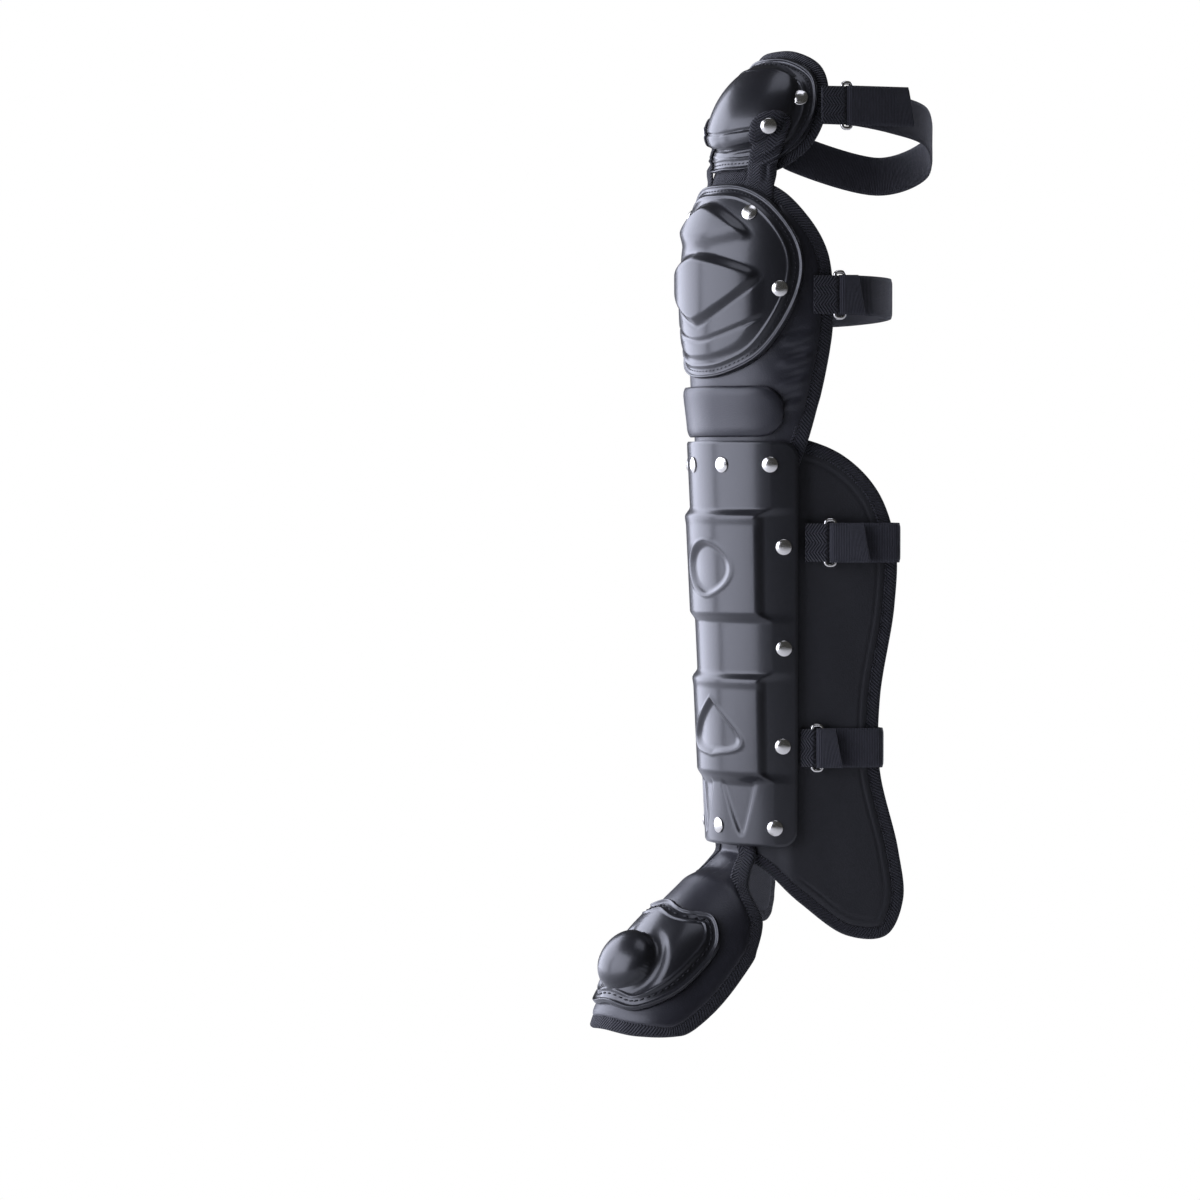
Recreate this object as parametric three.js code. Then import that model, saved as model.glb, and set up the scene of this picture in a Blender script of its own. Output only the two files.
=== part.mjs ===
// Catcher leg guard for a right leg, shown as worn.
// Millimetres, +Z up. The front faces -Y and the wearer's left is +X.
// The origin lies on the shin lining's centre line, just below the knee.
// Each sheet is laid out flat on a chart: across (mm round the leg, at the calf's radius) and up
// (mm along the leg). A surface function wraps the chart round the leg, and a lift in millimetres
// raises a point off the lining's inner face.
import * as THREE from 'three';

// The hollow that the leg fills, as radii of the lining's inner face.
const CALF_RADIUS = 60.4;
const ANKLE_RADIUS = 47.4;
const KNEE_RADIUS = 64;
const KNEE_TOP_RADIUS = 50;
const THIGH_RADIUS = 50;
const THIGH_LEAN = THREE.MathUtils.degToRad(24);

// Heights along the leg.
const SHELL_TOP = 21;
const SHELL_BOTTOM = -256;
const PANEL_TOP = SHELL_TOP + 6;
const PANEL_BOTTOM = SHELL_BOTTOM - 65;
const KNEE_PAD_TOP = 203;
const KNEE_TONGUE = 38;
const KNEE_CAP_TOP = 197;
const KNEE_CAP_BOTTOM = 64;
const KNEE_SHOULDER = 142;
const BADGE_TOP = 58.5;
const BADGE_BOTTOM = 24;
const THIGH_PAD_BOTTOM = 204;
const THIGH_PAD_TOP = 290;
const THIGH_CAP_BOTTOM = THIGH_PAD_BOTTOM + 2;
const THIGH_CAP_TOP = THIGH_PAD_TOP - 10;

// Half widths, as angles round the leg or millimetres beyond the shell's edge.
const SHELL_ANGLE = THREE.MathUtils.degToRad(58);
const KNEE_PAD_ANGLE = THREE.MathUtils.degToRad(78);
const KNEE_CAP_ANGLE = THREE.MathUtils.degToRad(61);
const BADGE_ANGLE = THREE.MathUtils.degToRad(50);
const THIGH_PAD_ANGLE = THREE.MathUtils.degToRad(63);
const THIGH_CAP_ANGLE = THREE.MathUtils.degToRad(54.5);
const WING_REACH = 68;

// Walls and clearances.
const PAD_THICKNESS = 9;
const PANEL_THICKNESS = 8;
const WING_THICKNESS = 7;
const TONGUE_THICKNESS = 4.3;
const TONGUE_SEAT = 5.2;
const SHELL_SEAT = 9.9;
const SHELL_WALL = 2.5;
const CAP_WALL = 2.4;
const TOUCH = 0.3;
const TAPE_WIDTH = 9;
const TAPE_GAP = 0.5;
const TAPE_THICKNESS = 4.3;

// The instep flap, which hangs from the shell's lower end.
const FLAP_REACH = 92;
const FLAP_DROP = 112;
const FLAP_TUCK = 14;
const FLAP_HALF_WIDTH = 70;
const FLAP_NECK_HALF_WIDTH = 23;
const FLAP_THICKNESS = 7;
const TOE_CAP_HALF_WIDTH = 47;
const TOE_BUMP_HEIGHT = 13;
const TOE_BUMP_RADIUS = 20;

// Straps, rings and buckles.
const STRAP_WIDTH = 27;
const STRAP_THICKNESS = 1.8;
const WIRE = 2.6;
const RING_OPENING = 4;
const BUCKLE_LENGTH = 42;
const BUCKLE_WIDTH = 36;
const BUCKLE_THICKNESS = 9;
const BUCKLE_GAP = 0.8;
const BADGE_SEAT = 10.1;
const THIGH_CAP_SEAT = 7.35;
const BADGE_PUFF = 2.8;
const LINK_WIDTH = 21;
const LINK_THICKNESS = 1.9;
const LINK_SEAT = 1.4;
const RIVET_RADIUS = 5.5;
const RIVET_HEIGHT = 2.2;

const { clamp, degToRad, lerp, smoothstep } = THREE.MathUtils;

// Outlines from the top centre down one side to the bottom centre, mirrored by the code.
// out is a share of the half width, up a share of the height.
const KNEE_CAP_OUTLINE = [
  { out: 0, up: 1 }, { out: 0.38, up: 0.985 }, { out: 0.68, up: 0.905 }, { out: 0.93, up: 0.73 },
  { out: 1, up: 0.56 }, { out: 0.9, up: 0.34 }, { out: 0.62, up: 0.11 }, { out: 0.3, up: 0.02 },
  { out: 0, up: 0 },
];
const KNEE_PAD_OUTLINE = [
  { out: 0, up: 1 }, { out: 0.36, up: 0.985 }, { out: 0.62, up: 0.945 }, { out: 0.82, up: 0.865 },
  { out: 0.95, up: 0.77 }, { out: 1, up: 0.66 }, { out: 1, up: 0.52 }, { out: 0.92, up: 0.33 },
  { out: 0.83, up: 0.18 }, { out: 0.7, up: 0.07 }, { out: 0.42, up: 0.01 }, { out: 0, up: 0 },
];
const THIGH_PAD_OUTLINE = [
  { out: 0, up: 1 }, { out: 0.35, up: 0.98 }, { out: 0.72, up: 0.86 }, { out: 0.92, up: 0.66 },
  { out: 1, up: 0.4 }, { out: 0.95, up: 0.2 }, { out: 0.76, up: 0.05 }, { out: 0.4, up: 0 },
  { out: 0, up: 0 },
];
const THIGH_CAP_OUTLINE = [
  { out: 0, up: 1 }, { out: 0.42, up: 0.97 }, { out: 0.82, up: 0.81 }, { out: 1, up: 0.52 },
  { out: 0.93, up: 0.26 }, { out: 0.68, up: 0.05 }, { out: 0.35, up: 0 }, { out: 0, up: 0 },
];
// wing is the reach beyond the shell's edge as a share of WING_REACH; -1 is the leg's centre line.
const PANEL_OUTLINE = [
  { wing: -1, up: 1 }, { wing: -0.4, up: 0.998 }, { wing: 0, up: 0.99 }, { wing: 0.45, up: 0.955 },
  { wing: 0.8, up: 0.885 }, { wing: 0.98, up: 0.78 }, { wing: 0.97, up: 0.66 },
  { wing: 0.83, up: 0.48 }, { wing: 0.83, up: 0.34 }, { wing: 1.02, up: 0.18 },
  { wing: 1.07, up: 0.08 }, { wing: 0.9, up: 0.01 }, { wing: 0.5, up: 0.01 },
  { wing: -0.05, up: 0.085 }, { wing: -0.5, up: 0.14 }, { wing: -1, up: 0.165 },
];
// The flap's centre line in the plane of symmetry: forward of the shin and down from the shell.
const FLAP_LINE = [
  { forward: 0.07, down: 0.115 }, { forward: 0.26, down: 0.25 }, { forward: 0.48, down: 0.4 },
  { forward: 0.67, down: 0.6 }, { forward: 0.86, down: 0.8 }, { forward: 1.02, down: 0.99 },
  { forward: 1.09, down: 1.13 },
];
// along is a share of the flap's length from its tucked end to its toe.
const FLAP_OUTLINE = [
  { out: 0, along: 0 }, { out: 0.26, along: 0.005 }, { out: 0.34, along: 0.1 },
  { out: 0.5, along: 0.22 }, { out: 0.86, along: 0.31 }, { out: 1, along: 0.43 },
  { out: 1, along: 0.6 }, { out: 0.93, along: 0.78 }, { out: 0.76, along: 0.92 },
  { out: 0.42, along: 0.965 }, { out: 0, along: 0.95 },
];
const TOE_CAP_OUTLINE = [
  { out: 0, along: 0.43 }, { out: 0.35, along: 0.45 }, { out: 0.75, along: 0.42 },
  { out: 1, along: 0.5 }, { out: 1, along: 0.63 }, { out: 0.85, along: 0.78 },
  { out: 0.5, along: 0.885 }, { out: 0, along: 0.89 },
];

const rad = degToRad;
// Grid rings of each padded sheet.
const PAD_RINGS = { thigh: 4, knee: 6, shin: 8, foot: 5 };
const CAP_RINGS = { thigh: 6, knee: 8, toe: 5 };

// 1 inside a soft box or ring, 0 outside; edge is the width of its shoulder.
function soft(distance, half, edge) {
  return 1 - smoothstep(Math.abs(distance), half - edge / 2, half + edge / 2);
}

function legRadius(up) {
  if (up < SHELL_TOP) {
    return lerp(ANKLE_RADIUS, CALF_RADIUS, (up - SHELL_BOTTOM) / (SHELL_TOP - SHELL_BOTTOM));
  }
  const knee = lerp(CALF_RADIUS, KNEE_RADIUS, smoothstep(up, SHELL_TOP, KNEE_CAP_BOTTOM));
  const over = clamp((up - KNEE_SHOULDER) / (KNEE_PAD_TOP - KNEE_SHOULDER), 0, 1);
  return knee - (KNEE_RADIUS - KNEE_TOP_RADIUS) * over * over;
}

// The lining's inner face from knee to ankle: an arc that runs on straight past the shell's edge.
function legSurface(across, up) {
  const radius = legRadius(up);
  const bend = lerp(SHELL_ANGLE, rad(82), smoothstep(up, SHELL_TOP + 6, KNEE_CAP_BOTTOM + 8));
  const turned = clamp(across / CALF_RADIUS, -bend, bend);
  const beyond = across - turned * CALF_RADIUS;
  const x = radius * Math.sin(turned) + beyond * Math.cos(turned);
  const y = -radius * Math.cos(turned) + beyond * Math.sin(turned);
  const normal = new THREE.Vector3(Math.sin(turned), -Math.cos(turned), 0);
  return { point: new THREE.Vector3(x, y, up), normal };
}

function thighSurface(across, up) {
  const angle = across / CALF_RADIUS;
  const axis = (up - THIGH_PAD_BOTTOM) * Math.tan(THIGH_LEAN);
  const normal = new THREE.Vector3(Math.sin(angle), -Math.cos(angle), 0);
  const point = normal.clone().multiplyScalar(THIGH_RADIUS);
  point.y += axis;
  point.z = up;
  return { point, normal };
}

// The flap's line, as a curve in the plane of symmetry.
const FLAP_RADIUS = ANKLE_RADIUS + TONGUE_SEAT;
const flapLine = new THREE.CatmullRomCurve3([
  ...[FLAP_TUCK, FLAP_TUCK * 0.5, 0, -6].map((above) => new THREE.Vector3(
    0, -legRadius(SHELL_BOTTOM + above) - TONGUE_SEAT, SHELL_BOTTOM + above,
  )),
  ...FLAP_LINE.map(({ forward, down }) => new THREE.Vector3(
    0, -FLAP_RADIUS - forward * FLAP_REACH, SHELL_BOTTOM - down * FLAP_DROP,
  )),
], false, 'centripetal');
const FLAP_LENGTH = flapLine.getLength();

// across is measured round the foot, along from the tucked end.
function flapSurface(across, along) {
  const share = clamp(along / FLAP_LENGTH, 0, 1);
  const centre = flapLine.getPointAt(share);
  const tangent = flapLine.getTangentAt(share);
  const front = new THREE.Vector3(0, tangent.z, -tangent.y);
  const angle = across / FLAP_RADIUS;
  const normal = front.clone().multiplyScalar(Math.cos(angle));
  normal.x = Math.sin(angle);
  const point = centre.clone().addScaledVector(front, -FLAP_RADIUS);
  point.addScaledVector(normal, FLAP_RADIUS);
  return { point, normal };
}

function raised(surface, across, up, lift) {
  const { point, normal } = surface(across, up);
  return point.addScaledVector(normal, lift);
}

// A closed outline on a chart, from half an outline's rows: evenly spaced by length.
function outlineCurve(rows) {
  const half = rows.map((row) => new THREE.Vector3(row[0], row[1], 0));
  const other = half.slice(1, -1).reverse().map((point) => new THREE.Vector3(-point.x, point.y, 0));
  return new THREE.CatmullRomCurve3([...half, ...other], true, 'centripetal');
}

function shareOutline(rows, halfWidth, bottom, top) {
  return outlineCurve(rows.map(({ out, up }) => [out * halfWidth, lerp(bottom, top, up)]));
}

const WING_START = SHELL_ANGLE * CALF_RADIUS;
const panelOutline = outlineCurve(PANEL_OUTLINE.map(({ wing, up }) => {
  const across = wing < 0 ? WING_START * (1 + wing) : WING_START + wing * WING_REACH;
  return [across, lerp(PANEL_BOTTOM, PANEL_TOP, up)];
}));
const kneePadOutline = shareOutline(
  KNEE_PAD_OUTLINE, KNEE_PAD_ANGLE * CALF_RADIUS, SHELL_TOP - KNEE_TONGUE, KNEE_PAD_TOP,
);
const kneeCapOutline = shareOutline(
  KNEE_CAP_OUTLINE, KNEE_CAP_ANGLE * CALF_RADIUS, KNEE_CAP_BOTTOM, KNEE_CAP_TOP,
);
const thighPadOutline = shareOutline(
  THIGH_PAD_OUTLINE, THIGH_PAD_ANGLE * CALF_RADIUS, THIGH_PAD_BOTTOM, THIGH_PAD_TOP,
);
const thighCapOutline = shareOutline(
  THIGH_CAP_OUTLINE, THIGH_CAP_ANGLE * CALF_RADIUS, THIGH_CAP_BOTTOM, THIGH_CAP_TOP,
);
const flapOutline = outlineCurve(FLAP_OUTLINE.map(({ out, along }) => (
  [out * FLAP_HALF_WIDTH, along * FLAP_LENGTH]
)));
const toeCapOutline = outlineCurve(TOE_CAP_OUTLINE.map(({ out, along }) => (
  [out * TOE_CAP_HALF_WIDTH, along * FLAP_LENGTH]
)));

// A point on the outline, moved inwards on the chart.
function insetPoint(curve, share, inset) {
  const at = ((share % 1) + 1) % 1;
  const point = curve.getPointAt(at);
  const tangent = curve.getTangentAt(at);
  const side = curve.turnsLeft ? 1 : -1;
  return { across: point.x - side * tangent.y * inset, up: point.y + side * tangent.x * inset };
}

for (const curve of [
  panelOutline, kneePadOutline, kneeCapOutline, thighPadOutline,
  thighCapOutline, flapOutline, toeCapOutline,
]) {
  const points = curve.getSpacedPoints(60);
  curve.turnsLeft = THREE.ShapeUtils.area(points) > 0;
}

// A square grid laid over the outline in rings: spot gives the ring share (0 centre, 1 edge).
function ringChart(curve, centreUp, rings, inset = 0, spread = 1.3) {
  const count = 2 * rings;
  return {
    columns: count,
    rows: count,
    spot(column, row) {
      const x = column - rings;
      const y = row - rings;
      const level = Math.max(Math.abs(x), Math.abs(y));
      if (level === 0) return { across: 0, up: centreUp, ring: 0 };
      let turn;
      if (y === level) turn = x / level;
      else if (x === level) turn = 2 - y / level;
      else if (y === -level) turn = 4 - x / level;
      else turn = 6 + y / level;
      const ring = 1 - (1 - level / rings) ** spread;
      const edge = insetPoint(curve, turn / 8, inset);
      return { across: edge.across * ring, up: lerp(centreUp, edge.up, ring), ring };
    },
  };
}

// A chart of rows and columns over a rectangle with rounded corners; rim falls to 0 at its edge.
function roundedChart({ half, bottom, top, corner }, columns, rows) {
  return {
    columns,
    rows,
    spot(column, row) {
      const eased = 0.5 - Math.cos((row / rows) * Math.PI) / 2;
      const up = lerp(bottom, top, lerp(row / rows, eased, 0.4));
      const intoCorner = Math.max(0, bottom + corner - up, up - top + corner);
      const cut = corner - Math.sqrt(Math.max(0, corner ** 2 - intoCorner ** 2));
      const side = column / columns * 2 - 1;
      const rim = Math.min(1, 4 * Math.min(row / rows, 1 - row / rows), 5 * (1 - Math.abs(side)));
      return { across: side * (half - cut), up, rim };
    },
  };
}

const badge = {
  half: BADGE_ANGLE * CALF_RADIUS, bottom: BADGE_BOTTOM, top: BADGE_TOP, corner: 14,
};
const shell = { half: WING_START, bottom: SHELL_BOTTOM, top: SHELL_TOP, corner: 11 };

// One closed body from a list of vertices and the triangles that join them.
function bodyGeometry(vertices, triangles) {
  const positions = new Float32Array(vertices.length * 3);
  vertices.forEach((vertex, index) => vertex.toArray(positions, index * 3));
  let volume = 0;
  for (const [a, b, c] of triangles) {
    volume += vertices[a].dot(vertices[b].clone().cross(vertices[c]));
  }
  const facing = volume > 0 ? triangles : triangles.map(([a, b, c]) => [a, c, b]);
  const geometry = new THREE.BufferGeometry();
  geometry.setAttribute('position', new THREE.BufferAttribute(positions, 3));
  geometry.setIndex(facing.flat());
  geometry.computeVertexNormals();
  return geometry;
}

// A sheet with thickness: lifts(spot) gives the inner and outer lift of each chart point.
function sheetGeometry(surface, chart, lifts) {
  const { columns, rows } = chart;
  const wide = columns + 1;
  const layer = wide * (rows + 1);
  const inner = [];
  const outer = [];
  for (let row = 0; row <= rows; row += 1) {
    for (let column = 0; column <= columns; column += 1) {
      const spot = chart.spot(column, row);
      const [low, high] = lifts(spot);
      inner.push(raised(surface, spot.across, spot.up, low));
      outer.push(raised(surface, spot.across, spot.up, high));
    }
  }
  const triangles = [];
  const quad = (a, b, c, d) => triangles.push([a, b, c], [a, c, d]);
  const flip = (a, b, c, d) => triangles.push([a, b, d], [b, c, d]);
  for (let row = 0; row < rows; row += 1) {
    for (let column = 0; column < columns; column += 1) {
      const corner = row * wide + column;
      const lean = (column < columns / 2) === (row < rows / 2) ? quad : flip;
      lean(corner, corner + 1, corner + wide + 1, corner + wide);
      const far = corner + layer;
      lean(far + wide, far + wide + 1, far + 1, far);
    }
  }
  const rim = [];
  for (let column = 0; column < columns; column += 1) rim.push(column);
  for (let row = 0; row < rows; row += 1) rim.push(row * wide + columns);
  for (let column = columns; column > 0; column -= 1) rim.push(rows * wide + column);
  for (let row = rows; row > 0; row -= 1) rim.push(row * wide);
  rim.forEach((index, place) => {
    const next = rim[(place + 1) % rim.length];
    quad(next, index, index + layer, next + layer);
  });
  return bodyGeometry([...inner, ...outer], triangles);
}

// A loft through sections of equally many points. Both ends are closed, or it joins its start.
function loftGeometry(sections, joined) {
  const sides = sections[0].length;
  const vertices = sections.flat();
  const triangles = [];
  const last = joined ? sections.length : sections.length - 1;
  for (let step = 0; step < last; step += 1) {
    const from = step * sides;
    const to = ((step + 1) % sections.length) * sides;
    for (let side = 0; side < sides; side += 1) {
      const next = (side + 1) % sides;
      triangles.push([from + side, to + side, to + next], [from + side, to + next, from + next]);
    }
  }
  if (!joined) {
    const end = (sections.length - 1) * sides;
    for (let side = 1; side < sides - 1; side += 1) {
      triangles.push([0, side, side + 1], [end, end + side + 1, end + side]);
    }
  }
  return bodyGeometry(vertices, triangles);
}

// Binding tape round an outline: midLift(up) is the lift of the middle of the edge that it wraps.
// It has the same steps round the outline as a pad laid out in as many rings.
function tapeGeometry(surface, curve, rings, midLift) {
  const steps = 8 * rings;
  const half = TAPE_THICKNESS / 2;
  const profile = [
    { inset: 0, lift: 0 }, { inset: TAPE_WIDTH * 0.2, lift: half },
    { inset: TAPE_WIDTH, lift: half }, { inset: TAPE_WIDTH, lift: -half },
    { inset: TAPE_WIDTH * 0.2, lift: -half },
  ];
  const sections = [];
  for (let step = 0; step < steps; step += 1) {
    sections.push(profile.map(({ inset, lift }) => {
      const { across, up } = insetPoint(curve, step / steps, inset);
      return raised(surface, across, up, midLift(up, across) + lift);
    }));
  }
  return loftGeometry(sections, true);
}

// A flat band along a path, with its width upright.
function bandGeometry(points, width, thickness) {
  const sections = points.map((point, index) => {
    const before = points[Math.max(index - 1, 0)];
    const after = points[Math.min(index + 1, points.length - 1)];
    const tangent = after.clone().sub(before).normalize();
    const wide = new THREE.Vector3(0, 0, 1).addScaledVector(tangent, -tangent.z).normalize();
    const face = tangent.clone().cross(wide).multiplyScalar(thickness / 2);
    wide.multiplyScalar(width / 2);
    return [
      point.clone().add(wide).add(face), point.clone().add(wide).sub(face),
      point.clone().sub(wide).sub(face), point.clone().sub(wide).add(face),
    ];
  });
  return loftGeometry(sections, false);
}

const COLOURS = {
  shell: { color: 0x17181b, roughness: 0.16, metalness: 0 },
  vinyl: { color: 0x141519, roughness: 0.42, metalness: 0 },
  lining: { color: 0x0b0b0d, roughness: 0.95, metalness: 0 },
  tape: { color: 0x0d0d11, roughness: 0.9, metalness: 0 },
  webbing: { color: 0x101014, roughness: 0.85, metalness: 0 },
  elastic: { color: 0x14151a, roughness: 0.9, metalness: 0 },
  nickel: { color: 0xc9c6bf, roughness: 0.22, metalness: 1 },
  plastic: { color: 0x121214, roughness: 0.35, metalness: 0 },
};

const legGuard = new THREE.Group();
const SEAT_DEPTH = legRadius(0);
const guard = new THREE.Group();
guard.add(legGuard);

function addPiece(name, geometry, finish) {
  const mesh = new THREE.Mesh(geometry, new THREE.MeshStandardMaterial(COLOURS[finish]));
  mesh.name = name;
  legGuard.add(mesh);
  return mesh;
}

// Thickness of a pad that thins to the tape at its edge: inner and outer lift.
function padLifts(ring, low, high) {
  const middle = (low + high) / 2;
  const edge = Math.min(TAPE_THICKNESS, high - low) / 2;
  const fill = Math.sqrt(Math.max(0, 1 - ring ** 7));
  return [lerp(middle - edge, low, fill), lerp(middle + edge, high, fill)];
}

// The panel is thin where the knee pad's tongue and the flap's neck are tucked behind the shell.
function panelThickness(across, up) {
  const body = lerp(PANEL_THICKNESS, WING_THICKNESS, smoothstep(
    Math.abs(across), WING_START - 28, WING_START - 12,
  ));
  const tongueEnd = SHELL_TOP - KNEE_TONGUE;
  const underKnee = smoothstep(up, tongueEnd - 45, tongueEnd - 22);
  const neckEnd = SHELL_BOTTOM + FLAP_TUCK;
  const neck = soft(across, FLAP_NECK_HALF_WIDTH + 28, 16);
  const underFlap = neck * (1 - smoothstep(up, neckEnd + 22, neckEnd + 42));
  return lerp(body, TONGUE_THICKNESS, Math.max(underKnee, underFlap));
}

function panelMiddle(up, across) {
  return panelThickness(across, up) / 2;
}

// The knee pad's lifts: full thickness at the knee, and a thin tongue behind the shell.
function kneePadRange(up) {
  const tucked = 1 - smoothstep(up, PANEL_TOP + 2, PANEL_TOP + 18);
  return [lerp(0, TONGUE_SEAT, tucked), lerp(PAD_THICKNESS - 0.1, SHELL_SEAT - 0.5, tucked)];
}

function kneePadMiddle(up) {
  const [low, high] = kneePadRange(up);
  return (low + high) / 2;
}

const LINK_ANGLE = rad(32);
const LINK_HALF_ANGLE = LINK_WIDTH / 2 / (THIGH_RADIUS + PAD_THICKNESS);
const LINK_BOTTOM = 174;
const LINK_TOP = 246;

// How far the knee pad gives way under the end of each link.
function linkDent(across, up) {
  const beside = soft(Math.abs(across) / CALF_RADIUS - LINK_ANGLE, LINK_HALF_ANGLE + 0.09, 0.08);
  return (LINK_THICKNESS + TOUCH * 6) * beside * smoothstep(up, LINK_BOTTOM - 12, LINK_BOTTOM - 3);
}

// The lip, the stitched groove and the swell that both hard caps share.
function capRim(ring) {
  return 1.1 * soft(ring - 0.975, 0.03, 0.03) - 0.5 * soft(ring - 0.9, 0.03, 0.04);
}

function kneeCapRelief(across, up, ring) {
  const out = Math.abs(across) / (KNEE_CAP_ANGLE * CALF_RADIUS);
  const high = (up - KNEE_CAP_BOTTOM) / (KNEE_CAP_TOP - KNEE_CAP_BOTTOM);
  const inside = 1 - smoothstep(ring, 0.72, 0.9);
  const swell = 4.6 * Math.max(0, 1 - ring ** 2.4);
  const bossHalf = 0.2 * Math.sqrt(Math.max(0, 1 - out / 0.6)) + 0.02;
  const boss = 6 * soft(high - 0.5, bossHalf, 0.06) * (1 - smoothstep(out, 0.5, 0.66));
  const brow = 4 * soft(high - 0.78 + 0.12 * out, 0.07, 0.05) * (1 - smoothstep(out, 0.36, 0.52));
  const ridge = 2.6 * soft(high - 0.24 - 0.06 * out, 0.05, 0.05) * (1 - smoothstep(out, 0.45, 0.6));
  return swell + inside * (boss + brow + ridge) + capRim(ring);
}

function thighCapRelief(across, up, ring) {
  const out = Math.abs(across) / (THIGH_CAP_ANGLE * CALF_RADIUS);
  const high = (up - THIGH_CAP_BOTTOM) / (THIGH_CAP_TOP - THIGH_CAP_BOTTOM);
  const swell = 7 * Math.max(0, 1 - ring ** 2.2);
  const round = Math.max(0, 1 - (out / 0.68) ** 2.4 - (Math.abs(high - 0.6) / 0.4) ** 2.4);
  const dome = 12 * Math.sqrt(round);
  const ridge = 1.8 * soft(high - 0.12, 0.04, 0.05) * (1 - smoothstep(out, 0.4, 0.6));
  return swell + dome + ridge + capRim(ring);
}

// A height on the shin shell, as a share of its length.
function shellUp(share) {
  return lerp(SHELL_BOTTOM, SHELL_TOP, share);
}

function shinRelief(across, up) {
  const angle = Math.abs(across) / CALF_RADIUS;
  const face = 1 - smoothstep(angle, rad(36), rad(43));
  const upper = soft(up - shellUp(0.697), 35, 9);
  const lower = soft(up - shellUp(0.307), 37, 9);
  const eye = (middle, half) => {
    const side = angle * CALF_RADIUS / 22;
    const tall = (up - middle) / half;
    return Math.max(0, 1 - side ** 1.6 - tall ** 2);
  };
  const eyes = Math.sqrt(eye(shellUp(0.679), 17)) + Math.sqrt(eye(shellUp(0.289), 18));
  const fromFoot = up - SHELL_BOTTOM;
  const toe = soft(angle - rad(19), rad(11) * clamp((fromFoot - 8) / 36, 0, 1), rad(5));
  const notch = toe * soft(fromFoot - 26, 17, 8);
  const foot = 1 - smoothstep(fromFoot, 40, 48);
  return face * (3.2 * (upper + lower) + 1.1 * foot - 3.4 * eyes - 2.1 * notch);
}

function shellLift(across, up) {
  return SHELL_SEAT + SHELL_WALL + shinRelief(across, up);
}

function thighCapLift(across, up, ring) {
  return THIGH_CAP_SEAT + CAP_WALL + thighCapRelief(across, up, ring);
}

const KNEE_CENTRE = lerp(KNEE_CAP_BOTTOM, KNEE_CAP_TOP, 0.5);
const THIGH_CENTRE = lerp(THIGH_CAP_BOTTOM, THIGH_CAP_TOP, 0.5);

function addThigh() {
  const inset = TAPE_WIDTH + TAPE_GAP;
  const low = 0;
  const high = PAD_THICKNESS;
  const middle = lerp(THIGH_PAD_BOTTOM, THIGH_PAD_TOP, 0.46);
  addPiece('thigh_pad', sheetGeometry(
    thighSurface, ringChart(thighPadOutline, middle, PAD_RINGS.thigh, inset),
    ({ ring }) => padLifts(ring, low, high),
  ), 'lining');
  addPiece('thigh_binding', tapeGeometry(
    thighSurface, thighPadOutline, PAD_RINGS.thigh, () => (low + high) / 2,
  ), 'tape');
  pieces.thighCap = addPiece('thigh_cap', sheetGeometry(
    thighSurface, ringChart(thighCapOutline, THIGH_CENTRE, CAP_RINGS.thigh),
    ({ across, up, ring }) => {
      const outer = thighCapLift(across, up, ring);
      return [outer - CAP_WALL, outer];
    },
  ), 'shell');
}

function addKnee() {
  const inset = TAPE_WIDTH + TAPE_GAP;
  addPiece('knee_pad', sheetGeometry(
    legSurface, ringChart(kneePadOutline, 95, PAD_RINGS.knee, inset),
    ({ across, up, ring }) => {
      const [low, high] = kneePadRange(up);
      const [inner, outer] = padLifts(ring, low, high);
      return [inner, Math.min(outer, high - linkDent(across, up))];
    },
  ), 'vinyl');
  addPiece('knee_binding', tapeGeometry(
    legSurface, kneePadOutline, PAD_RINGS.knee, kneePadMiddle,
  ), 'tape');
  pieces.kneeCap = addPiece('knee_cap', sheetGeometry(
    legSurface, ringChart(kneeCapOutline, KNEE_CENTRE, CAP_RINGS.knee),
    ({ across, up, ring }) => {
      const base = PAD_THICKNESS + TOUCH;
      const relief = kneeCapRelief(across, up, ring);
      return [base + Math.max(0, relief - capRim(ring)), base + CAP_WALL + relief];
    },
  ), 'shell');
  addPiece('knee_badge', sheetGeometry(
    legSurface, roundedChart(badge, 12, 4),
    ({ rim }) => [BADGE_SEAT, BADGE_SEAT + 1.8 + BADGE_PUFF * Math.sqrt(rim)],
  ), 'vinyl');
}

function addShin() {
  const inset = TAPE_WIDTH + TAPE_GAP;
  addPiece('shin_panel', sheetGeometry(
    legSurface, ringChart(panelOutline, -140, PAD_RINGS.shin, inset, 1.15),
    ({ across, up, ring }) => {
      const thick = panelThickness(across, up);
      return padLifts(ring, 0, thick);
    },
  ), 'lining');
  addPiece('shin_binding', tapeGeometry(
    legSurface, panelOutline, PAD_RINGS.shin, panelMiddle,
  ), 'tape');
  pieces.shell = addPiece('shin_shell', sheetGeometry(
    legSurface, roundedChart(shell, 12, 22),
    ({ across, up }) => {
      const outer = shellLift(across, up);
      return [outer - SHELL_WALL, outer];
    },
  ), 'shell');
}

// The flap is as thin as the tongue where the shell covers it, and thickens below.
function flapRange(along) {
  const free = smoothstep(along, FLAP_TUCK + 22, FLAP_TUCK + 38);
  return [0, lerp(SHELL_SEAT - 1.8 - TONGUE_SEAT, FLAP_THICKNESS, free)];
}

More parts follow.
